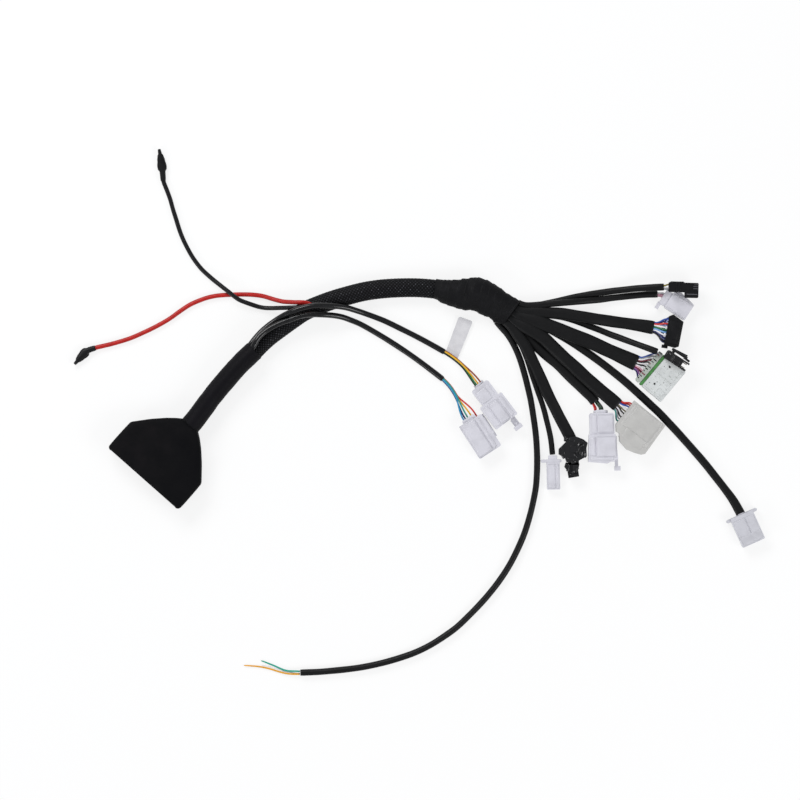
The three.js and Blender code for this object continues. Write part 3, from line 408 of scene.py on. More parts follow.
def braid_material():
    """Woven strands: painted shade in the gaps, painted highlight on the crowns, a few bright flecks as
    painted glints.
    """
    n = Nodes("braid_weave")
    weave = n.node("ShaderNodeAttribute", attribute_name="weave").outputs["Fac"]
    # Painted glints: a noise mask on the crowns, where pale flecks stand in for reflections off the strands
    light = n.spread(n.grain(420, 2.0, 0.5), 0.52, 0.66, 0.0, 1.0)
    crown = n.spread(weave, 0.84, 0.98, 0.0, 1.0)
    mix = n.node("ShaderNodeMix", data_type="RGBA")
    n.join(n.maths("MULTIPLY", light, crown).outputs[0], mix.inputs["Factor"])
    # Painted shade and highlight: the colour darkens from the strands' crowns into the gaps and lightens at
    # the crowns
    n.join(n.ramp(weave, (0.0, "010102"), (0.55, "060607"), (0.82, "101012"), (1.0, "26262a")),
           mix.inputs["A"])
    # The colour of the painted glints
    mix.inputs["B"].default_value = hexa("5a5a60")
    n.join(mix.outputs["Result"], n.shader.inputs["Base Color"])
    n.rough(weave, 0.0, 1.0, 0.9, 0.42)
    n.fill(n.shader, Specular_IOR_Level=0.12)
    n.bump((n.grain(3200, 2.0), 0.05, 0.6))
    return n.material


def tape_material():
    """Cloth tape: two crossed fine rib directions under a matte finish."""
    n = Nodes("tape_cloth")
    drift = n.grain(90)
    n.color(drift, (0.25, "08080a"), (0.6, "0e0e10"), (0.8, "171719"))
    ribs = []
    for direction in ("X", "Y"):
        wave = n.node("ShaderNodeTexWave", bands_direction=direction, Scale=430.0, Distortion=1.6,
                      Detail=2.0, Detail_Scale=2.0)
        n.join(n.place, wave.inputs["Vector"])
        ribs.append((wave.outputs["Fac"], 0.08, 0.4))
    n.rough(n.grain(500, 3.0), 0.3, 0.7, 0.52, 0.74)
    n.fill(n.shader, Specular_IOR_Level=0.13, Sheen_Weight=0.02)
    n.bump(*ribs, (drift, 0.6, 0.3))
    return n.material


braid = braid_material()
tape = tape_material()
rubber = surface("boot_rubber_skin", ((26, 5.0, 0.65), (0.3, "060609"), (0.52, "0b0b0d"), (0.75, "131113")),
                 ((60,), 0.3, 0.7, 0.6, 0.78), [((1500, 3.0, 0.7), 0.05, 0.5), ((120, 3.0), 0.25, 0.4)],
                 Specular_IOR_Level=0.07)
label_film = surface("label_film", ((90, 3.0), (0.3, "c2c1c4"), (0.7, "d2d1d3")),
                     ((700, 3.0), 0.3, 0.7, 0.38, 0.52), [((90, 3.0), 0.3, 0.4)])
tin = surface("tin_plated_contact", ((900,), (0.3, "a39f90"), (0.7, "cfccc0")), ((900,), 0.3, 0.7, 0.22, 0.4),
              [((900,), 0.02, 0.4)], Metallic=1.0)
sleeve_black = sleeve_material("sleeve_black", "0c0c0d", 0.46)
sleeve_shiny = sleeve_material("sleeve_black_shiny", "080809", 0.22, 0.42)
shrink = sleeve_material("shrink_tube_black", "0c0b0f", 0.6, 0.1)
vinyl = sleeve_material("vinyl_cover_black", "0e0e10", 0.42)
inside_dark = plastic("inside_dark", "0a0a0b", 0.8, specular=0.1)
black_plastic = plastic("black_plastic", "0c0c0e", 0.42, specular=0.22, vary=0.25)
black_gloss = plastic("black_gloss_plastic", "08080a", 0.16, specular=0.6, vary=0.25)
lead_black = plastic("lead_black_skin", "0f0f11", 0.38, specular=0.25, vary=0.2)
lead_red = plastic("lead_red_skin", "ab1812", 0.42, specular=0.3, scale=160)
white_nylon = nylon_material("white_nylon_milky", "cac9d0", 0.42)
white_nylon_f = nylon_material("white_nylon_shaded", "c0c0c6", 0.42)
grey_nylon = nylon_material("grey_nylon_milky", "b6b5b2", 0.4, 0.2)
clear_nylon = nylon_material("clear_nylon_milky", "cacdcc", 0.34, 0.2)
cover_nylon = nylon_material("cover_nylon_milky", "a9b0a8", 0.4, 0.15)
seal_green = plastic("seal_green", "43793f", 0.6, specular=0.3, vary=0.2, relief=0.06)
dim_grey = plastic("dim_grey_plastic", "4c4c50", 0.5, specular=0.25, vary=0.2)
block_plastic = plastic("contact_block_plastic", "17171a", 0.5, specular=0.3, vary=0.2)

WIRE_COLORS = {
    "yellow": "d9a51e", "brown": "8f3d1c", "green": "1f6b3a", "black": "141416", "teal": "1f8a80",
    "blue": "2a4a9c", "navy": "232a5e", "red": "c22a26", "white": "e2e0e2", "pink": "d9a3b4",
    "olive": "7a7020", "violet": "8a5a94", "maroon": "6e2334", "lavender": "8c93c4", "grey": "8d9296",
    "sky": "6f9fd0", "darkgreen": "1c3d26", "bronze": "6a6450", "amber": "dc9c22", "seafoam": "1f9a83",
    "cyan": "2f86b0",
}
wire_materials = {
    key: plastic(f"wire_{key}", color, 0.36, specular=0.45, vary=0.1, scale=300)
    for key, color in WIRE_COLORS.items()
}

# Camera: straight above the table, the top of the sheet is +Y
VIEW_CENTRE = (0.085, -0.007)
VIEW_SPAN = 0.8
LENS = 240
SENSOR = 36
camera_data = bpy.data.cameras.new("camera")
camera_data.sensor_width = SENSOR
camera_data.lens = LENS
camera_data.clip_end = 50
camera = linked("camera", camera_data)
camera.location = (*VIEW_CENTRE, VIEW_SPAN * LENS / SENSOR)
bpy.context.scene.camera = camera

# Routes: the same points as in the CAD. A point without a height keeps the height before it
TRUNK_Z = 7.5
neck_route = [
    (191.4, 424.6, 11), (200, 413.6), (211.6, 397.9, 11.2), (221, 386.2, 11.5), (231.3, 374.1, 11.8),
    (243, 361.6, 12.1), (254.6, 350.6, 12.2),
]
trunk_route = [
    (255.3, 349.9, TRUNK_Z), (262.5, 342.6), (270, 336), (278.1, 329.9), (290.6, 320.8), (304.4, 311.6),
    (318, 305.6), (331, 300.8), (345.5, 296.4), (363.5, 291.8), (380, 289.3), (400, 288), (419, 288),
    (436, 289.5), (445, 291),
]
# A branch wider than WIDE holds a flat row of wires
WIDE = 10
# Width, height, width at the mouth and points of each branch
branch_routes = {
    1: (6.6, 5.6, 7.2, [
        (518.1, 302.4, 2.8), (519.4, 303.3), (525, 305.3), (532, 306), (540, 304.9), (548, 303.3),
        (556, 301.5), (566, 299.2), (577.4, 296.6), (588, 294.6, 3), (600, 292.9, 3.6), (612, 291.2, 5),
        (621, 290.2, 6.4), (632, 289, 8.6), (643, 288.2, 10.8), (654, 287.6, 12.8), (663.2, 287.3, 13.8)]),
    2: (6.6, 5.6, 7, [
        (518.1, 302.4, 8.8), (519.4, 303.2), (525, 305, 8.9), (532, 305.3), (540, 304.9), (548, 304.2),
        (556, 303.5), (566, 302.6, 8.7), (574, 302, 8.2), (582, 301.4, 7), (590, 300.6, 5.4),
        (600, 299.6, 3.9), (612, 298, 3.1), (624, 296.6, 2.9), (636, 295.4, 2.8), (647, 294.6),
        (657.4, 294.2, 3)]),
    3: (11.3, 5.6, 13.4, [
        (514.6, 307.1, 8.8), (515.9, 308), (522, 310.6, 8.9), (530, 311.8, 9.1), (540, 312.4, 9.2),
        (549, 312.9), (560, 313.6), (570, 314.8), (580, 316.4), (590, 318.1, 8.8), (600, 319.8, 8),
        (611, 321.4, 6.8), (622, 322.9, 5.9), (632, 324.4, 5.5), (643, 326, 5.6), (653.3, 327.8, 6)]),
    4: (6.4, 5.8, 6.4, [
        (514.6, 307.1, 2.8), (515.9, 308), (522, 311.3, 2.9), (531, 313.6), (541, 314.6), (551, 315.6),
        (561, 317), (571, 319.6), (580, 322.6), (590, 326.4), (600, 330.2, 3.1), (610, 334.4, 4.6),
        (620, 338.1, 7.2), (630, 341.9, 10.6), (640, 345.7, 14.2), (649, 349, 17.2), (656.3, 351.8, 18.8)]),
    5: (14, 6, 16.2, [
        (511.1, 311.9, 8.8), (512.4, 312.8), (518, 315.6, 9), (525, 317.9, 9.4), (533, 320.3, 9.9),
        (541, 323.2, 10.2), (550, 326.6, 10.3), (560, 330.4), (570, 334.4), (580, 338.3, 10.2),
        (590, 342.4, 9.9), (600, 346.7, 9.3), (610, 351.2, 8.6), (619, 355.2, 8), (628, 359.3, 7.6),
        (636, 363.2)]),
    6: (8, 6.8, 9.4, [
        (511.1, 311.9, 2.8), (512.4, 312.8), (518, 315.8, 3), (526, 318.9, 3.3), (534, 322.2, 3.4),
        (542, 325.9), (551, 330.2), (560, 335.2), (570, 341.2), (580, 347.8), (590, 354.6), (600, 361.8),
        (610, 369.5), (620, 377.5), (630, 386), (640, 395), (650, 404.3), (658, 411.8), (666.1, 420.2),
        (675, 429.8), (684.9, 440.6), (693, 449.8), (702.1, 460.3), (713.5, 474.6), (725.6, 490.2),
        (732.9, 500.3, 3.6), (740.3, 513.5, 4.4)]),
    7: (13, 6, 13.8, [
        (507.7, 316.7, 8.8), (509, 317.6), (515, 321.8, 9.1), (522, 325.6, 9.6), (529, 329.4, 9.9),
        (537, 334, 10), (544, 338.8), (551, 345.4), (558, 352.2), (565.3, 359.2), (573, 366),
        (580.5, 372.9), (587.5, 379.2), (596, 386.7, 9.9), (604, 393.6, 9.7), (611, 399.7, 9.4),
        (617.2, 405.2, 9.2)]),
    8: (11, 6.4, 10.4, [
        (507.7, 316.7, 2.8), (509, 317.6), (514.5, 322.2, 2.9), (520, 327.3, 3.1), (526, 334.2, 3.2),
        (532, 341.2), (539, 348.4), (547, 355.4), (555.6, 362.4), (564, 370.8), (573.4, 379.9),
        (580, 386.2), (586, 391.9), (591.3, 397), (595, 402.2)]),
    9: (11.4, 5.8, 11.6, [
        (504.2, 321.5, 8.8), (505.5, 322.4), (510.5, 326.8, 9.1), (515, 331.8, 9.5), (519.6, 338.2, 9.8),
        (524, 345), (528, 352, 9.6), (532, 359.8, 9.4), (536.3, 369, 9.2), (540.9, 379.6, 9.1),
        (545.6, 389.8, 9), (550.4, 399.8, 8.6), (555.6, 409.8, 7.8), (561, 420, 7), (565.5, 429, 6.6),
        (568.8, 435.6, 6.5), (571.6, 441.4, 6.4)]),
    10: (5.7, 5.6, 5.7, [
        (504.2, 321.5, 2.8), (505.5, 322.4), (508.6, 325.1), (511.6, 328.6), (514.5, 332.4),
        (517.2, 336.4), (521.2, 345), (524.5, 352.6), (527.4, 360.2), (530.6, 370), (533.9, 380.2),
        (537.3, 390.2), (540.9, 400.2), (544, 410.2), (546.6, 420.2), (549, 430.4), (551, 441),
        (552.4, 454.6)]),
}
long_route = [
    (496.4, 321.6, 3.2), (501, 327.2), (507, 334), (512.3, 342.2), (517.2, 352.1), (520.3, 360.2),
    (523.3, 370.2), (526, 380.2), (528.4, 390.2), (530.6, 400.2), (533.9, 420.2), (536.3, 440),
    (537, 460), (536.8, 475), (535.8, 487), (533.4, 500.2), (529.9, 515.2), (525.4, 530.2), (519.9, 544),
    (513.5, 557.5), (506.3, 570.2), (497.6, 583), (487.9, 595.2), (478.2, 606), (468, 616.4),
    (456.5, 627.2), (444.2, 636.2), (430.3, 644.9), (415.3, 652.2), (400.2, 657.7), (380.5, 663.1),
    (360.3, 667.3), (340, 669.9), (320, 671.6), (300.4, 672.5),
]
green_wire_route = [
    (300, 671.2, 3.2), (296, 671, 3.1), (292, 670.9, 2.8), (288, 670.7, 2.4), (284, 669.8, 2),
    (281, 668.7, 1.6), (278, 667.4, 1.2), (275, 666, 1), (272, 664.8, 0.9), (270, 664), (268, 663.2),
    (266, 662.4), (264, 661.6), (262.6, 661.1), (261.2, 660.7),
]
amber_wire_route = [
    (300, 674, 3.2), (296, 674, 3), (292, 673.9, 2.6), (288, 673.6, 2.1), (284, 672.9, 1.6),
    (280, 671.9, 1.2), (276, 670.7, 1), (272, 669.4, 0.9), (268, 668.3), (264, 667.4), (260, 666.7),
    (256, 666.2), (252, 665.9), (248, 665.6), (244, 665.4),
]
side_route_1 = [
    (246.2, 350.1, 14.2), (248.8, 347.3, 15.4), (250.9, 344.8, 16.1), (254.5, 340, 15.9),
    (261, 332.5, 15.2), (268.5, 326), (276, 320.6, 15.8), (282.5, 316.6, 17.6), (289.3, 313.2, 20.2),
    (296, 310.4, 22.4), (302.5, 308.4, 23.2), (309.2, 306.9, 23.3), (316, 306, 22.9),
    (325.8, 305.9, 21.2), (333.5, 306.3, 19.4), (341, 307, 16.8), (348, 308.2, 13.6), (356, 310.6, 9.8),
    (365, 313.6, 6.2), (375, 317.2, 4), (385.8, 321.5, 3.1), (402.4, 329.6, 2.9), (419, 338),
    (435.6, 347), (444.3, 352),
]
side_route_2 = [
    (249.1, 352, 18.8), (251.9, 349.2, 19.9), (254.2, 346.2, 20.9), (256.6, 341.6, 21.5),
    (259.8, 337, 21.2), (265, 332.2, 20.4), (270.2, 328.7, 20.3), (275.8, 325.6), (282.6, 322.6, 20),
    (290.3, 320, 19.3), (296.5, 317.5, 18.8), (303, 315.6, 18.5), (310, 314.8, 18.4),
    (316.5, 314.8, 18.2), (322.5, 315, 17.2), (329, 315.3, 15), (336, 316, 12), (343, 317.4, 8.8),
    (350.5, 320, 5.8), (358, 323, 3.9), (365, 326.6, 3.1), (385.8, 338.8, 2.9), (402.4, 349.5),
    (419, 361.1), (435.6, 373.6), (442.8, 379.2),
]
ground_route = [
    (305.6, 309, 13.2), (298.4, 307.7, 15.2), (291, 307.8, 13.6), (284.5, 308, 10.6), (278.3, 308.1, 7.8),
    (271.8, 308.2, 5.2), (265.5, 308, 3.6), (260, 307.2, 3), (254.6, 305.6, 3.6), (247, 303, 5.4),
    (240, 300.2, 6.9), (234.6, 296.6, 7.4), (229.3, 292.3, 7.1), (222.4, 286.9, 5.6), (215.4, 281.4, 3.7),
    (208, 275.1, 2.5), (201, 268.4, 2.3), (193.6, 258.6), (188.6, 250.2), (183.5, 240), (179.4, 229.6),
    (176.3, 219.6), (173, 209), (170.2, 199), (166.4, 188.8), (163.8, 182.2), (163.3, 179.2, 2.6),
]
power_route = [
    (313.6, 308.6, 11.6), (311.2, 305.4, 13.4), (306.6, 303.1, 14.6), (301, 302.6, 15.4),
    (296, 302.6, 13.6), (290, 302.3, 11), (283.4, 301.8, 8), (278, 300.6, 5.6), (273, 299.2, 3.8),
    (263, 296.2, 2.4), (252.8, 294.8, 2.3), (240, 294.5), (231.3, 294.8), (223, 295.2), (215.4, 296),
    (208, 297.6), (201, 300), (189.9, 304.8), (178.7, 312.2), (171.4, 317.6), (164.4, 322), (154, 327.6),
    (143.6, 332.6), (129.3, 338.7), (111.7, 343.9), (96.4, 347.6), (93.4, 348.6, 2.6),
]
ground_cover_route = [
    (163.4, 181, 2.9), (162.6, 171), (161.2, 160), (159.3, 149.3),
]
power_cover_route = [
    (95.6, 347.9, 2.9), (88, 350.6), (81.6, 356.4), (74.8, 364.2),
]


# Cords: sleeves, leads and the two cut wires
def branch_size(width, height, end, length):
    """Nearly round where a sleeve leaves the tape, then flat, and as wide as end at its mouth."""
    root_width = 7.6 if width > WIDE else 5.6
    root_height = 5.6
    root_length = 24
    flare_length = 34

    def size(share, distance):
        spread = smoothstep(distance, 0, root_length)
        full = width + (end - width) * smoothstep(distance, length - flare_length, length)
        return root_width + (full - root_width) * spread, root_height + (height - root_height) * spread
    return size


cords = {}
for number, (width, height, end, points) in branch_routes.items():
    line = route(points)
    piece = sleeve(f"branch_{number:02d}_soft_sleeve", line,
                   branch_size(width, height, end, line_length(line) / MM), [sleeve_black],
                   sides=28 if width > WIDE else 20, lumps=0.5 if width > WIDE else 0.25, seed=3.1 * number)
    stand_in(f"branch_{number:02d}_sleeve")
    cords[f"branch_{number:02d}"] = (piece, line, width)

for key, points, diameter, material, node, slot, lumps in (
    ("branch_11", long_route, 6.4, sleeve_black, "branch_11_sleeve", "sleeve", 0.18),
    ("side_1", side_route_1, 5.8, sleeve_shiny, "side_sleeve_1", "sleeve", 0.18),
    ("side_2", side_route_2, 5.8, sleeve_shiny, "side_sleeve_2", "sleeve", 0.18),
    ("ground", ground_route, 4.5, lead_black, "ground_lead", "lead_black", 0.12),
    ("power", power_route, 4.5, lead_red, "power_lead", "lead_red", 0.12),
    ("green_wire", green_wire_route, 1.8, wire_materials["seafoam"], "branch_11_green_wire", "wire_green", 0),
    ("amber_wire", amber_wire_route, 1.8, wire_materials["amber"], "branch_11_amber_wire", "wire_amber", 0),
):
    cut_wire = key.endswith("wire")
    hollow = diameter > 5
    line = route(points, 1.2 if cut_wire else 2.5)
    piece = sleeve(f"{key}_soft_cord", line, tapering(diameter, 0.35 if cut_wire else 0), [material],
                   sides=12 if cut_wire else 20, mouth=4 if hollow else 0.4, wall=0.5 if hollow else 0.2,
                   lumps=lumps, seed=len(key) * 1.7, shape=1.0)
    stand_in(node)
    cords[key] = (piece, line, diameter)

# Boot: a rounded rubber fan, hollow at its mouth
boot_frame = frame_at((143.6, 478.7), 48.5)
BOOT_MIDDLE = 36
BOOT_HALF_WIDTH = 46.5
CAVITY_X, CAVITY_Z = -10, 3
CAVITY_DEPTH, CAVITY_WIDTH, CAVITY_HEIGHT = 44, 86, 18
# One half of the boot from above: a straight mouth, sharp shoulders and a tapering back
boot_half = [
    (0, 0), (0, 15), (0, 30), (0, 42.6), (0.3, 44.6), (1.2, 46.2), (2.8, 47), (8, 47.2), (16, 47.2),
    (26, 47.1), (33.4, 46.8), (35, 46.4), (36.4, 45.4), (40, 42.4), (44, 39), (47.8, 35.8), (51.6, 32.4),
    (54.8, 29.2), (58, 26.1), (61.2, 22.9), (64.2, 19.4), (66.8, 16.4), (69.2, 13.2), (71.3, 10.2),
    (71.5, 5),
]
# Height of each ring of the skin, and how far it is drawn in
boot_levels = [
    (0, 2.2), (0.5, 1.1), (1.4, 0.4), (3, 0), (8, 0), (14, 0), (19, 0), (20.8, 0.4), (22.2, 1.3),
    (23.2, 2.6), (23.8, 4.2), (24, 6.2), (24.05, 10), (24.1, 16), (24.1, 24), (24.1, 31),
]


def in_boot(x, y, z):
    return boot_frame @ (Vector((x, y, z)) * MM)


def boot():
    outline = boot_half + [(x, -y) for x, y in reversed(boot_half) if y > 0]
    rings = [[in_boot(BOOT_MIDDLE + (x - BOOT_MIDDLE) * (1 - inset / BOOT_MIDDLE),
                      y * (1 - inset / BOOT_HALF_WIDTH), z) for x, y in outline] for z, inset in boot_levels]
    piece = add_mesh("boot_rubber_body", *skin(rings), [rubber, inside_dark])
    recalculate(piece)
    cavity = add_mesh("boot_cavity_cutter", [], [], [inside_dark])
    work = bmesh.new()
    bmesh.ops.create_cube(work, size=1)
    for v in work.verts:
        v.co = in_boot(CAVITY_X + (v.co.x + 0.5) * CAVITY_DEPTH, v.co.y * CAVITY_WIDTH,
                       CAVITY_Z + (v.co.z + 0.5) * CAVITY_HEIGHT)
    bmesh.ops.recalc_face_normals(work, faces=work.faces)
    work.to_mesh(cavity.data)
    work.free()
    cut = piece.modifiers.new("cavity", "BOOLEAN")
    cut.object = cavity
    cut.operation = "DIFFERENCE"
    cut.solver = "EXACT"
    bpy.context.view_layer.update()
    carved = piece.evaluated_get(bpy.context.evaluated_depsgraph_get())
    piece.data = bpy.data.meshes.new_from_object(carved)
    piece.modifiers.clear()
    bpy.data.objects.remove(cavity)
    for face in piece.data.polygons:
        face.use_smooth = True
    piece.data.set_sharp_from_angle(angle=SHARP_ANGLE)
    stand_in("boot")


boot()


# Neck tube: shrunk over the boot's collar and the bundle
def neck():
    sides = 48
    line = route([(188.9, 427.6, 11), *neck_route], 1.4)
    length = line_length(line) / MM
    frames = axes_along(line)
    rings = []
    for i, (point, (side, up, tangent)) in enumerate(zip(line, frames)):
        share = i / (len(line) - 1)
        place = share * length
        width = 20.5 - 0.2 * share - 0.5 * math.exp(-((place - 36) / 5) ** 2)
        ring = oval(point, side, up, width * MM, (20.4 + 4 * share) * MM, sides)
        rings.append(swell(ring, point, lambda turn: smoothstep(place, 0, 6) * (
            0.22 * wobble_around(place * 0.09, turn, 1.3)
            + 0.12 * wobble_around(place * 0.5, turn, 2.5, 7))))
    side, up, tangent = frames[-1]
    for back, width, height in ((-0.3, 19.5, 24.0), (-0.4, 19.2, 23.6), (0.2, 18.7, 23.0), (7, 18.3, 22.6)):
        rings.append(oval(line[-1] - tangent * back * MM, side, up, width * MM, height * MM, sides))
    piece = add_mesh("neck_shrink_tube", *skin(rings), [shrink])
    stand_in("neck_tube")


neck()


# Trunk: the woven sleeve is real relief, strands over and under each other
def weave_height(a, b):
    """Height from 0 to 1 where two families of strands cross; a and b count strands."""
    ia, ib = math.floor(a), math.floor(b)
    fa, fb = a - ia - 0.5, b - ib - 0.5
    across_a = max(0.0, 1 - (abs(fa) / 0.47) ** 3)
    across_b = max(0.0, 1 - (abs(fb) / 0.47) ** 3)
    over = 1 if (ia + ib) % 2 == 0 else -1
    high_a = across_a * (0.56 + 0.44 * over * math.cos(math.pi * fb))
    high_b = across_b * (0.56 - 0.44 * over * math.cos(math.pi * fa))
    return max(high_a, high_b)


def trunk():
    sides = 120
    strands = 16
    pitch = 54.0 / strands
    relief = 0.5
    trunk_width, trunk_height = 18.2, 14.2
    line = route([(250.6, 354.8, TRUNK_Z + 0.6), (252.9, 352.4, TRUNK_Z + 0.3), *trunk_route], 0.42)
    length = line_length(line) / MM
    rings, values = [], []
    for i, (point, (side, up, _)) in enumerate(zip(line, axes_along(line))):
        place = length * i / (len(line) - 1)
        squeeze = 0.25 * wobble(place * 0.03, 2.2)
        ring = oval(point, side, up, (trunk_width + squeeze) * MM, (trunk_height - squeeze) * MM, sides)
        w = place / pitch
        for k, v in enumerate(ring):
            u = strands * k / sides
            high = weave_height(u + w, u - w + strands * 4)
            ring[k] = v + (v - point).normalized() * relief * high * MM
            values.append(high)
        rings.append(ring)
    piece = add_mesh("trunk_woven_sleeve", *skin(rings, caps=False), [braid])
    layer = piece.data.attributes.new("weave", "FLOAT", "POINT")
    layer.data.foreach_set("value", values)
    stand_in("trunk_braid")


trunk()

# Junction tape: its upper and lower edge on the sheet and its height at each station
tape_stations = [
    ((436.2, 278.2), (433.3, 300.2), 18.4), ((442.8, 279.8), (441, 303), 20),
    ((456.8, 279.4), (455.5, 308.4), 22), ((464.5, 278.6), (461.5, 310.2), 22.4),
    ((468.3, 278.3), (464.8, 310.8), 21.4), ((474.6, 277.4), (471.8, 310.8), 22.4),
    ((481.7, 278.1), (477.8, 313.5), 21.6), ((489.3, 281.3), (483.4, 316.2), 21),
    ((497, 285.7), (489.3, 318.6), 19.6), ((505.3, 291.5), (493.8, 322.6), 18),
    ((512.3, 296.2), (498.2, 323.8), 16.6), ((520.6, 300.8), (503.6, 324.4), 15.6),
]


def tape_relief(along, turn, lying):
    """How far the tape's skin stands out, in millimetres: two laps that cross, and soft folds."""
    lap = (along + 2.6 * math.sin(turn) + 4.2 * turn / math.pi) / 8.4 % 1
    crossing_lap = (along - 3.4 * math.cos(turn) + 30) / 13.0 % 1
    ridge = -0.62 * lap + 0.25 * smoothstep(lap, 0.0, 0.08) - 0.36 * crossing_lap
    fold = 0.5 * wobble_around(along * 0.07, turn, 1.2) + 0.22 * wobble_around(along * 0.22, turn, 2.6, 3)
    return ridge + fold * (0.2 if lying else 1)


def junction():
    tops = [on_sheet(top) for top, _, _ in tape_stations]
    lows = [on_sheet(low) for _, low, _ in tape_stations]
    marks = marks_along(tops)
    ring_step = 0.5
    count = len(smooth_line(tops, ring_step * MM))
    sides = 72
    rings = []
    for k in range(count):
        place = marks[-1] * k / (count - 1)
        i = max(j for j in range(len(marks) - 1) if marks[j] <= place + 1e-12)
        share = (place - marks[i]) / (marks[i + 1] - marks[i])
        low, high = (spline_piece(*padded(edge)[i : i + 4], share) for edge in (lows, tops))
        before, after = tape_stations[i][2], tape_stations[i + 1][2]
        height = (before + (after - before) * share) * MM
        centre = (high + low) / 2 + UP * (height / 2)
        along = place / MM
        flush = 0.9 + 0.1 * smoothstep(along, 0, 8)
        ring = oval(centre, (high - low).normalized(), UP, (high - low).length, height, sides)
        for s, v in enumerate(ring):
            relief = tape_relief(along, 2 * math.pi * s / sides, v.z < 0.4 * MM)
            ring[s] = centre + (v - centre) * flush + (v - centre).normalized() * relief * MM
            ring[s].z = max(ring[s].z, 0.0)
        rings.append(ring)

    def pulled(ring, share, shift):
        centre = sum(ring, Vector()) / len(ring)
        return [centre + (v - centre) * share + shift * MM for v in ring]

    first, last, still = rings[0], rings[-1], Vector()
    into = (lows[1] - lows[0]).normalized()
    back = (on_sheet((500, 300)) - on_sheet((512, 308))).normalized()
    rings = [pulled(first, 0.92, into * 2), pulled(first, 0.95, still), *rings,
             pulled(last, 0.93, still), pulled(last, 0.88, back * 1.2)]
    piece = add_mesh("junction_wound_tape", *skin(rings), [tape])
    stand_in("junction_tape")


junction()

# Terminal covers: the share of the length and the width in millimetres there
COVER_PROFILE = [
    (0, 5.2), (0.1, 5.7), (0.28, 5.9), (0.38, 9.2), (0.46, 9.6), (0.66, 7.8), (0.8, 6), (0.86, 3.8),
    (1, 3),
]


def profile_at(profile, share):
    for (a, wa), (b, wb) in zip(profile, profile[1:]):
        if share <= b:
            return wa + (wb - wa) * smoothstep(share, a, b)
    return profile[-1][1]


def terminal_cover(name, points, node, contact):
    piece = sleeve(name, route(points, 0.8), lambda share, distance: (profile_at(COVER_PROFILE, share), 5.5),
                   [vinyl], sides=24, mouth=3, wall=0.5, lumps=0.15, seed=len(name))
    stand_in(node)
    nodes[contact].data.materials.clear()
    nodes[contact].data.materials.append(tin)
    return piece


ground_cover = terminal_cover("ground_terminal_boot", ground_cover_route, "ground_terminal_cover",
                              "ground_terminal_contact")
power_cover = terminal_cover("power_terminal_boot", power_cover_route, "power_terminal_cover",
                             "power_terminal_contact")


# Wires between sleeves and connectors
def bezier(p0, p1, p2, p3, steps):
    return [p0 * (1 - t) ** 3 + p1 * 3 * t * (1 - t) ** 2 + p2 * 3 * t * t * (1 - t) + p3 * t**3
            for t in (k / steps for k in range(steps + 1))]


def turned(heading):
    angle = math.radians(heading)
    return Vector((math.cos(angle), math.sin(angle), 0)), Vector((-math.sin(angle), math.cos(angle), 0))


def wire_fan(name, node, slot, start, heading, end, end_heading, wires, diameter=1.75, bow=0.4, hold=0.0,
             tuck=3.0, reach_in=1.0):
    """wires: (colour, offset at the sleeve, height there, offset at the connector, height there[, how much
    further in it ends]). They stay bundled for the share hold of their length."""
    steps, sides = 18, 10
    out_dir, out_side = turned(heading)
    in_dir, in_side = turned(end_heading)
    a, b = on_sheet(start), on_sheet(end)
    reach = (b - a).length * bow
    middle = bezier(a, a + out_dir * reach, b - in_dir * reach, b, steps)
    vertices, faces, indices = [], [], []
    colors = sorted({w[0] for w in wires})
    for color, from_side, from_up, to_side, to_up, *further in wires:
        line = [a + (out_side * from_side + UP * from_up - out_dir * tuck) * MM]
        for k, point in enumerate(middle):
            share = smoothstep(k / steps, hold, 1.0)
            side = out_side.lerp(in_side, k / steps).normalized()
            aside = from_side + (to_side - from_side) * share
            line.append(point + (side * aside + UP * (from_up + (to_up - from_up) * share)) * MM)
        line.append(b + (in_side * to_side + UP * to_up + in_dir * (reach_in + sum(further))) * MM)
        rings = [oval(p, s, u, diameter * MM, diameter * MM, sides)
                 for p, (s, u, _) in zip(line, axes_along(line))]
        new_vertices, new_faces = skin(rings)
        faces += [tuple(len(vertices) + k for k in face) for face in new_faces]
        vertices += new_vertices
        indices += [colors.index(color)] * len(new_faces)
    piece = add_mesh(name, vertices, faces, [wire_materials[c] for c in colors], indices)
    if node:
        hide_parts(node)
    return piece


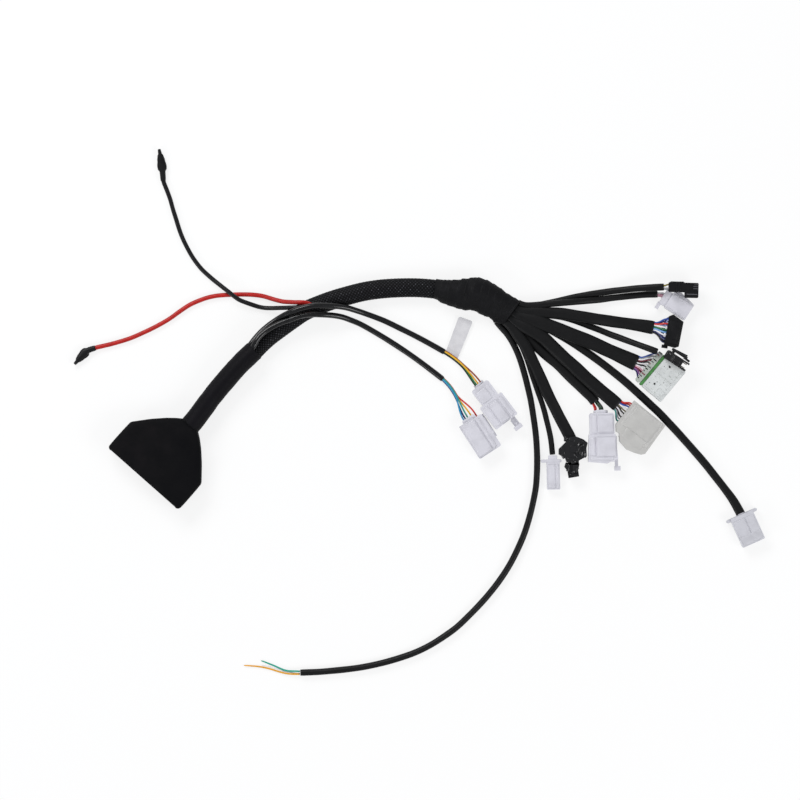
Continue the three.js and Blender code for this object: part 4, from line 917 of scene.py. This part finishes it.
# Node, slot, start, heading, end, heading there, wires and what differs for each fan
FANS = {
    "side_1": ("side_wires_1", "wire_brown", (445.1, 352.5, 2.9), -31, (477.1, 383, 7), -52.7,
        dict(bow=0.38, hold=0.45, reach_in=2), [
        ("yellow", 0.6, 1.2, 0.2, 1), ("brown", 1.4, 0, 3.2, 0), ("green", -0.2, -0.4, -1.8, 0.6),
        ("black", -1.2, -0.3, -3, -0.2)]),
    "side_2": ("side_wires_2", "wire_blue", (443.5, 379.8, 2.9), -42, (467.3, 417.2, 6), -57,
        dict(bow=0.38, hold=0.42), [
        ("teal", 0.7, 1, 0.2, 0.4), ("cyan", -0.4, 1.1, -4.6, 0.4), ("navy", -1.2, 0.2, -2.6, -0.4),
        ("red", 1.2, -0.2, 8.4, 0.2, 4.4), ("yellow", 0.5, -0.4, 4, 0.4)]),
    "branch_01": ("branch_01_wires", "wire_olive", (663.7, 287.3, 13.8), 0, (667.3, 287.2, 13.8), -1.5,
        dict(tuck=2), [
        ("olive", 1.4, 0.9, 2.2, 0.6), ("white", -0.6, 0.8, -1, 0.2), ("grey", -1.9, 0.2, -2.6, -0.2)]),
    "branch_02": ("branch_02_wires", "wire_pale", (658.2, 294.2, 3.1), -8, (662.6, 295.7, 4.2), -33,
        dict(tuck=2), [
        ("white", 1.2, 0.6, 2.4, 0.4), ("pink", -0.6, 0.8, 0.2, 0.4), ("white", 0.2, -0.6, 1.2, -0.4),
        ("pink", -1.8, -0.2, -1.6, -0.2)]),
    "branch_03": ("branch_03_wires", "wire_blue", (653.9, 327.9, 6), -10, (665.5, 330.4, 7), -9.8,
        dict(reach_in=2.4), [
        ("blue", 5.2, 0.4, 11.4, 3.6), ("red", 3.8, 1.2, 6.6, 4), ("white", 2.4, 1.3, 2.6, 4.4),
        ("green", 0.8, 1.4, 0.4, 4.6), ("sky", -0.8, 1.2, -2.2, 4.4), ("white", -2.2, 1, -5, 4.2),
        ("navy", -3.2, 0.9, -7.4, 3.8), ("black", -4.9, 0.2, -10.4, 3.2), ("navy", 4.4, -0.6, 9.2, 2.4),
        ("lavender", 1.6, -0.4, 5, 2.8), ("navy", 0, -0.4, -0.8, 2.6), ("navy", -3, -0.6, -12, 1.6),
        ("lavender", -1.4, -0.6, -9, 2)]),
    "branch_05": ("branch_05_wires", "wire_maroon", (636.6, 363.4, 7.6), -24, (648.4, 366.9, 7.5), -40,
        dict(reach_in=2), [
        ("blue", 6.9, 0.6, 15.6, 1.4), ("grey", 5.6, 0.9, 12.4, 1), ("white", 4.3, 1.1, 9.6, 1.6),
        ("maroon", 3.1, 1.2, 6.8, 1.4), ("black", 1.9, 1.3, 4.2, 1.6), ("white", 0.7, 1.3, 1.4, 1.6),
        ("black", -0.5, 1.3, -1.4, 1.4), ("white", -1.7, 1.2, -4.2, 1.6), ("pink", -2.9, 1.1, -7, 1.4),
        ("maroon", -4.1, 1, -9.6, 1.2), ("violet", -5.3, 0.9, -12.4, 1.4),
        ("navy", -6.6, 0.4, -15.4, 0.8), ("grey", 2.4, -0.6, 8, -1), ("violet", -2.4, -0.6, -8.2, -1)]),
    "branch_07": ("branch_07_wires", "wire_blue", (617.9, 405.8, 9.2), -41, (624, 411.9, 8.4), -38,
        dict(reach_in=1.2), [
        ("red", 5.6, 0.6, 10.6, 2), ("red", 4.6, -0.4, 8.6, 0.8), ("blue", 3.2, 1, 6.4, 2),
        ("white", 1.9, 1.1, 3.6, 2), ("bronze", 0.5, 1.1, 1, 2), ("black", -0.7, 1.2, -1.6, 2),
        ("white", -1.9, 1.1, -3.8, 1.6), ("black", -3.1, 1, -6, 1.8), ("grey", -4.4, 0.8, -8.6, 1.6),
        ("teal", -5.5, 0.4, -11.2, 1)]),
    "branch_08": ("branch_08_wires", "wire_red", (595.3, 402.8, 3.2), -60, (600, 409.2, 6), -88.5,
        dict(bow=0.3, tuck=2), [
        ("red", -3, 1, -5.6, 1.6, 4), ("red", -2, -0.6, -4.2, 0.6), ("darkgreen", 1.6, 1, 1, 1.8),
        ("black", 3, 0.2, 2.4, 1), ("darkgreen", 0.4, -0.4, -0.6, 0.4)]),
}
fans = {key: wire_fan(f"{key}_coloured_wires", *ends, wires, **options)
        for key, (*ends, options, wires) in FANS.items()}

wire_fan("tape_mouth_wires", None, "wire_pale", (510.6, 307.2, 11.4), -30, (518, 311.4, 10.8), -24, [
    ("sky", 1.6, 0.3, 2, -0.3), ("pink", -4.4, 0.1, -5.4, -0.3)
], diameter=0.9, tuck=1.5, reach_in=0.2)
wire_fan("branch_03_rear_bundle", None, "wire_blue", (667.2, 319.6, 10), -150, (662.8, 339.8, 7), -20, [
    ("lavender", 0.8, 0.6, 0.6, 0.4), ("navy", -0.8, 0.2, -0.6, 0.4), ("black", 0, -1.2, 0.2, -1),
    ("navy", -1.1, -0.8, -1.8, -0.8)
], diameter=1.5, bow=0.14, tuck=2.6, reach_in=3)

# A third cut wire, white, close beside the two at the end of the long branch
white_line = route([
    (300, 673.4, 1.4), (292, 672.6, 1.1), (284, 671.2, 0.9), (276, 668.6, 0.7), (268, 666.2, 0.6),
    (262, 665.2),
], 1.2)
white_tail = sleeve("branch_11_white_wire", white_line, tapering(1.1), [wire_materials["white"]],
                    sides=10, mouth=0.3, wall=0.15, shape=1.0)


# Label flag: thin film with a slight curl, left bare
def label():
    corners = [on_sheet(c) for c in ((458.8, 316.4), (472.9, 321.3), (457.1, 360.3), (444.7, 354.5))]
    length, across, corner, thickness = 42.5, 14.4, 2.2, 0.3
    ends = [0, 0.12, 0.4, 0.8, 1.4, corner]
    rows = ends + [corner + 1.9 * k for k in range(1, 20)] + [length - d for d in reversed(ends)]
    steps = 10
    bottom = []
    for along in rows:
        near = min(along, length - along, corner)
        inset = (corner - math.sqrt(corner**2 - (corner - near) ** 2)) / across
        u = along / length
        for j in range(steps + 1):
            v = inset + (1 - 2 * inset) * j / steps
            place = corners[0].lerp(corners[1], v).lerp(corners[3].lerp(corners[2], v), u)
            place.z = max(1.2 + 1.2 * (1 - u) ** 2 + 0.35 * wobble(u * 3, v * 2, 5), 0.7) * MM
            bottom.append(place)
    top = [place + UP * (thickness * MM) for place in bottom]
    width = steps + 1
    last = (len(rows) - 1) * width
    shift = len(top)
    faces = []
    for start in range(0, last, width):
        for a in range(start, start + steps):
            faces.append((a, a + width, a + width + 1, a + 1))
            faces.append((shift + a, shift + a + 1, shift + a + width + 1, shift + a + width))
    edge = [*range(width), *range(width + steps, last, width), *range(last + steps, last, -1),
            *range(last, 0, -width)]
    faces += [(a, b, b + shift, a + shift) for a, b in zip(edge, edge[1:] + edge[:1])]
    piece = add_mesh("label_flag_film", top + bottom, faces, [label_film])
    recalculate(piece)
    piece.data.set_sharp_from_angle(angle=SHARP_ANGLE)
    stand_in("label_flag")
    return piece


label_piece = label()

# Connectors: the CAD bodies stay, with a material, rounded edges and the cord that each belongs to
connector_looks = {
    "boot_contact_block": (block_plastic, 0.4, None), "side_connector_1": (white_nylon, 1.8, "side_1"),
    "side_connector_2": (white_nylon, 1.2, "side_2"),
    "branch_01_connector": (black_plastic, 0.4, "branch_01"),
    "branch_02_connector": (white_nylon, 0.6, "branch_02"),
    "branch_03_connector": (black_plastic, 0.7, "branch_03"),
    "branch_04_connector": (black_gloss, 0.3, "branch_04"),
    "branch_05_rear_cover": (cover_nylon, 0.5, "branch_05"),
    "branch_05_seal": (seal_green, 0.4, "branch_05"),
    "branch_05_housing": (clear_nylon, 0.6, "branch_05"),
    "branch_06_connector": (white_nylon_f, 0.6, "branch_06"),
    "branch_07_connector": (grey_nylon, 1.4, "branch_07"),
    "branch_08_connector": (white_nylon, 2.4, "branch_08"),
    "branch_09_connector": (black_gloss, 0.6, "branch_09"),
    "branch_09_nose_plug": (black_plastic, 0.5, "branch_09"),
    "branch_10_connector": (white_nylon, 0.5, "branch_10"), "wire_bundle": (lead_black, 0, None),
}
for name, (material, width, _) in connector_looks.items():
    node = nodes[name]
    node.data.materials.clear()
    node.data.materials.append(material)
    if width:
        round_edges(node, width, 3, 35)

# The clear connector: ribs, irregular specks of five kinds (length, width, look) and wires seen at its rear
clear_boxes = [
    (11, 31, -0.6, 0.6, 14.6, 15.6), (9.4, 33.6, -19.2, -17.8, 14.2, 15.5),
    (9.4, 33.6, 17.4, 18.8, 14.2, 15.5), (30.6, 33.6, -17, 17, 14.4, 15.3),
    (24, 33.4, -19.6, -10, 12.8, 15.2, 0, (6, 4, 0)),
]
SPECKS = ((0.6, 2.2, 0), (2.6, 0.5, 2), (0.9, 0.7, 3), (2.2, 0.6, 0), (0.7, 0.6, 2))
for k in range(32):
    x = 11.2 + 5.2 * (k % 4) + (k * 1.37) % 2.2
    y = -16.4 + 4.1 * (k // 4) + (k * 2.61) % 1.7
    long, wide, look = SPECKS[(k * 3) % 5]
    clear_boxes.append((x, x + long, y, y + wide, 14.3, 15.2 + 0.08 * (k % 4), look))
clear_boxes += [(x, x + 1.6, y, y + 1.8, 14.5, 15.6, 1) for x, y in ((17.5, 12.2), (16.6, -10.4))]
for k in range(12):
    y = 3 * k
    clear_boxes.append((0.8, 5.0, y - 17, y - 16.3, 13.6, 14.9, 2))
    clear_boxes.append((0.2, 1.8 + 1.4 * (k % 3), y - 15.6, y - 14.4, 13.2, 14.75, (1, 3, 4, 3)[k % 4]))

# Moulded details: place, heading, slot, materials, width and segments of the edges, draft and boxes
DETAILS = {
    "side_1": ((479.1, 385.5), -52.7, "white_nylon", [white_nylon], 0.9, 3, 0.7, [
        (-3, 1.6, -5.4, 6.2, 2.6, 11), (0.2, 5, -8, 8, 11.6, 14, 0, (0, -24, 0)),
        (3, 18.6, -9.6, 4.4, 12.6, 15.1), (2, 17.6, 4, 9.6, 12, 14.4, 0, (-28, 0, 0)),
        (20, 45, -13, -5.6, 12.4, 14.9, 0, (20, 0, 0)), (20, 45.4, -6.4, 6.4, 13, 16),
        (20, 45, 6.2, 13, 12.4, 14.9, 0, (-20, 0, 0)), (43, 56, 4.2, 8.6, 7.2, 8.6)]),
    "side_2": ((467.5, 417.5), -57, "white_nylon", [white_nylon, tin], 0.8, 3, 0.7, [
        (3, 41.2, -12.4, 5, 11.2, 14), (5, 41, 4.6, 10.6, 10.6, 13.2, 0, (-24, 0, 0)),
        (6, 30, 12.6, 15, 6, 11.2), (4.6, 7, -12.2, 13, 0.6, 12.3), (22, 39, -7, -6.2, 4.6, 7.4, 1),
        (22, 39, 5, 5.8, 4.6, 7.4, 1), (22, 39, -1, -0.2, 4.6, 7.4, 1)]),
    "branch_01": ((667.8, 287.2, 9.3), -1.5, "black_plastic", [black_plastic, dim_grey], 0.2, 2, 0, [
        (2, 9, 3.6, 5.4, 5.6, 9.3), (11, 15, 3.6, 5.6, 5.6, 9.3), (17.6, 28.6, 3.2, 4.5, 8.4, 9.5),
        (24.6, 29.4, -1.6, -0.8, 8.7, 9.5, 1), (24.6, 29.4, 0.6, 1.3, 8.7, 9.5, 1),
        (25.2, 29.4, 2.4, 3, 8.7, 9.5, 1), (17.4, 28, -9.6, -8.6, 8.6, 9.4),
        (7, 8.4, -4.6, 4.4, 8.6, 9.5), (10.5, 11.9, -4.6, 4.4, 8.6, 9.5), (18, 29, -3.4, -2.6, 8.6, 9.6),
        (18, 29, -7.4, -6.4, 8.6, 9.5, 1)]),
    "branch_02": ((666.3, 298.2), -33, "white_nylon", [white_nylon, tin], 0.5, 3, 0.7, [
        (2, 25, 7, 12.2, 1.5, 8.6, 0, (0, 0, -12)), (4, 26.4, -9, -6.4, 7.8, 9.6, 0, (25, 0, 0)),
        (4, 26.4, 5.6, 8.8, 7.8, 9.6, 0, (-14, 0, 0)), (14, 26, -3.2, -2.4, 3.4, 5.4, 1),
        (14, 26, 2.2, 3, 3.4, 5.4, 1)]),
    "branch_03": ((666, 330.5), -9.8, "black_plastic", [black_plastic], 0.5, 3, 0, [
        (2, 13.6, -12.6, 10.4, 13.4, 14.5), (4.4, 11.8, -8, 6, 14.2, 15), (0.4, 2, -13, 13, 3, 11),
        (11.6, 14.6, -10, -7, 13.6, 15), (11.6, 14.6, 4, 7, 13.6, 15)]),
    "branch_04": ((664.5, 353.6, 15.3), -33, "black_plastic", [black_gloss, tin], 0.3, 2, 0, [
        (1, 8, -3.4, 3.4, 7, 8), (10, 17, -1.2, 1.2, 7, 7.9), (3, 20, 7, 9.6, 2.4, 5.9, 0, (0, 0, 6)),
        (4.4, 7.4, 4, 8, 2.2, 5.6), (17.5, 24.6, 5.2, 7.4, 2.4, 5.6, 0, (0, 0, -4)),
        (8.4, 9.6, -4.4, 4.4, 6.6, 8.1), (18.6, 24, -2.6, -1.6, 1.4, 4.4, 1),
        (18.6, 24, 1.6, 2.6, 1.4, 4.4, 1), (1.5, 6, 1.6, 4.8, 6.4, 8.4, 0, (22, -12, 0)),
        (11, 17, -4.6, -2.4, 6.2, 8.2, 0, (24, 10, 0))]),
    "branch_05": ((646.6, 365.4), -40, "clear_nylon",
        [clear_nylon, black_plastic, cover_nylon, dim_grey, wire_materials["maroon"]],
        0.3, 2, 0, clear_boxes),
    "branch_06": ((740.5, 514), -65.8, "white_nylon", [white_nylon_f, tin], 0.5, 3, 0.7, [
        (3.4, 31.4, -11.9, 2, 9.8, 11.6, 0, (1.5, 0, 0)), (3.4, 31.4, 1, 12, 9.6, 11.7, 0, (-4, 0, 0)),
        (20, 31.4, -12, 12, 9.6, 11.6, 0, (0, 4, 0)), (-1.6, 1, -5, 5, 2.6, 8.6),
        (12, 30, -5.4, -4.6, 4.4, 6.4, 1), (12, 30, -0.4, 0.4, 4.4, 6.4, 1),
        (12, 30, 4.6, 5.4, 4.4, 6.4, 1)]),
    "branch_07": ((624.3, 412.2), -38, "grey_nylon", [grey_nylon], 0.9, 3, 0.9, [
        (0.8, 9, -14.6, 15, 12.8, 15.6, 0, (0, -12, 0)), (5, 38.5, -12, 15, 14, 15.9),
        (9, 37.5, -24, -8, 12.8, 15.7, 0, (7, 0, 0)), (33, 41.2, -18, 13, 13, 15.7, 0, (0, 12, 0))]),
    "branch_08": ((601.2, 412.9), -88.5, "white_nylon", [white_nylon], 0.9, 3, 0.7, [
        (0.8, 21.4, -12.2, -4.4, 12.8, 15.2, 0, (16, 0, 0)), (0.8, 20.8, -5.6, 12.4, 13.4, 16.2),
        (-3.6, 3.5, -8.6, 6.6, 9.6, 13.6, 0, (0, -14, 0)),
        (22.6, 44, -14.2, -6.4, 13.4, 16, 0, (16, 0, 0)), (22.6, 45, -7.2, 14.8, 14, 17),
        (42.4, 50, -14.2, 12.6, 12.4, 15.7, 0, (0, 24, 0))]),
    "branch_09": ((573, 450), 0, "black_plastic", [black_gloss], 0.45, 2, 0, [
        (-4.4, 1.4, 8.4, 11.4, 12.4, 14.2), (5.2, 7, -4.4, 7.8, 12.4, 14.4),
        (9.4, 11.2, -4.8, 8.6, 12.4, 13.9), (-12.6, -8.6, -4.6, 3.4, 12.2, 14),
        (-6.2, 0.4, -10.6, -7.6, 12.2, 14.4), (-3.4, 3.8, -2.6, 4.6, 12.4, 13.6),
        (6.6, 12.4, -5.4, -3.6, 12, 13.8), (-1, 4, -22.4, -14.6, 10.6, 12.2),
        (-7.2, -4.6, -20, -14, 10.6, 12), (-3.8, 5, -25.6, -24, 10.8, 12),
        (-9.4, 2.4, 8.6, 13.4, 2, 10.6), (-5.4, 5.6, -15, -9.5, 2, 11.4),
        (-9, -3.6, 10.6, 12.4, 10.2, 12.2, 0, (24, 12, 20)),
        (3.2, 6.4, -1.5, 6.5, 12.4, 14.6, 0, (0, -24, -14)),
        (7.4, 9.4, -6.5, -1, 12.2, 14.6, 0, (18, 26, 8)),
        (10.4, 12.4, -7.5, -2, 11.4, 13.8, 0, (20, 24, 12)),
        (1.4, 3.2, -8.4, -3, 12.4, 14.4, 0, (16, -22, 24)),
        (-11.8, -9.6, -8.8, -2.4, 10.6, 13.2, 0, (0, -30, 30)),
        (-2.4, 2.6, -13.4, -10.6, 10.8, 13, 0, (28, 0, 16)),
        (-6.4, -3.4, -21.4, -14.2, 9.2, 11.8, 0, (8, -26, -12)),
        (2, 5, -19.4, -14.6, 9.4, 12.2, 0, (-8, 26, 6)),
        (-1.6, 1.2, -24.4, -19.8, 9.8, 12.2, 0, (24, 6, 0)),
        (5.4, 11, 3.4, 5.2, 12, 14.6, 0, (26, -8, 30))]),
    "branch_10": ((552.6, 455.3), -88.8, "white_nylon", [white_nylon, tin], 0.45, 3, 0.8, [
        (8, 33.8, -6.4, 3, 6.6, 8.6), (8, 33.8, 2.4, 6.8, 6.2, 8.3, 0, (-16, 0, 0)),
        (18, 33, -2.4, -1.8, 2.6, 5, 1), (18, 33, 1.8, 2.4, 2.6, 5, 1)]),
}
details = {}
for key, (place, heading, slot, *look, boxes) in DETAILS.items():
    details[key] = blocks(f"{key}_details", frame_at(place, heading), boxes, *look)

# Cords, with what hangs on each: the pieces of each cord are gathered into a list that nothing uses further
hangers = {
    "ground": [nodes["ground_terminal_contact"], ground_cover],
    "power": [nodes["power_terminal_contact"], power_cover],
    "side_1": [label_piece],
    "branch_11": [white_tail],
}
for key, (piece, line, diameter) in cords.items():
    pieces = [nodes[name] for name, (_, _, owner) in connector_looks.items() if owner == key]
    pieces += [found[key] for found in (fans, details) if key in found]
    pieces += hangers.get(key, [])

# Table, backdrop and light
floor_mesh = bpy.data.meshes.new("floor")
floor_mesh.from_pydata([(-3, -3, 0), (3, -3, 0), (3, 3, 0), (-3, 3, 0)], [], [(0, 1, 2, 3)])
floor = linked("floor", floor_mesh)
floor.location.z = -0.4 * MM
white = Nodes("floor_white")
white.tree.nodes.clear()
matte = white.node("ShaderNodeBsdfDiffuse", Color=(0.86, 0.86, 0.86, 1))
glow = white.node("ShaderNodeEmission", Color=(1, 1, 1, 1), Strength=1.0)
rays = white.node("ShaderNodeLightPath")
seen = white.maths("MAXIMUM", rays.outputs["Is Camera Ray"], rays.outputs["Is Glossy Ray"]).outputs[0]
seen = white.maths("MAXIMUM", seen, rays.outputs["Is Transmission Ray"]).outputs[0]
share = white.maths("MULTIPLY", seen)
share.inputs[1].default_value = 0.8
mixed = white.node("ShaderNodeMixShader")
for source, target in zip((share.outputs[0], matte.outputs[0], glow.outputs[0]), mixed.inputs):
    white.join(source, target)
white.join(mixed.outputs[0], white.node("ShaderNodeOutputMaterial").inputs["Surface"])
floor_mesh.materials.append(white.material)

world = bpy.data.worlds.new("studio")
bpy.context.scene.world = world
world.use_nodes = True
world.node_tree.nodes["Background"].inputs["Color"].default_value = (0.93, 0.95, 1, 1)
world.node_tree.nodes["Background"].inputs["Strength"].default_value = 0.45


def area_light(name, location, power, size):
    """A lamp aimed at the middle of the view."""
    data = bpy.data.lights.new(name, "AREA")
    data.energy = power
    data.shape = "RECTANGLE"
    data.size, data.size_y = size
    lamp = linked(name, data)
    lamp.location = location
    target = Vector((*VIEW_CENTRE, 0))
    lamp.rotation_euler = (target - Vector(location)).to_track_quat("-Z", "Y").to_euler()


area_light("key", (-0.9, 1.5, 1.5), 34, (1.4, 0.8))
area_light("fill", (1.6, -0.9, 1.4), 20, (1.2, 0.9))
area_light("rim", (-1.4, -1.3, 1.2), 12, (1.0, 0.6))
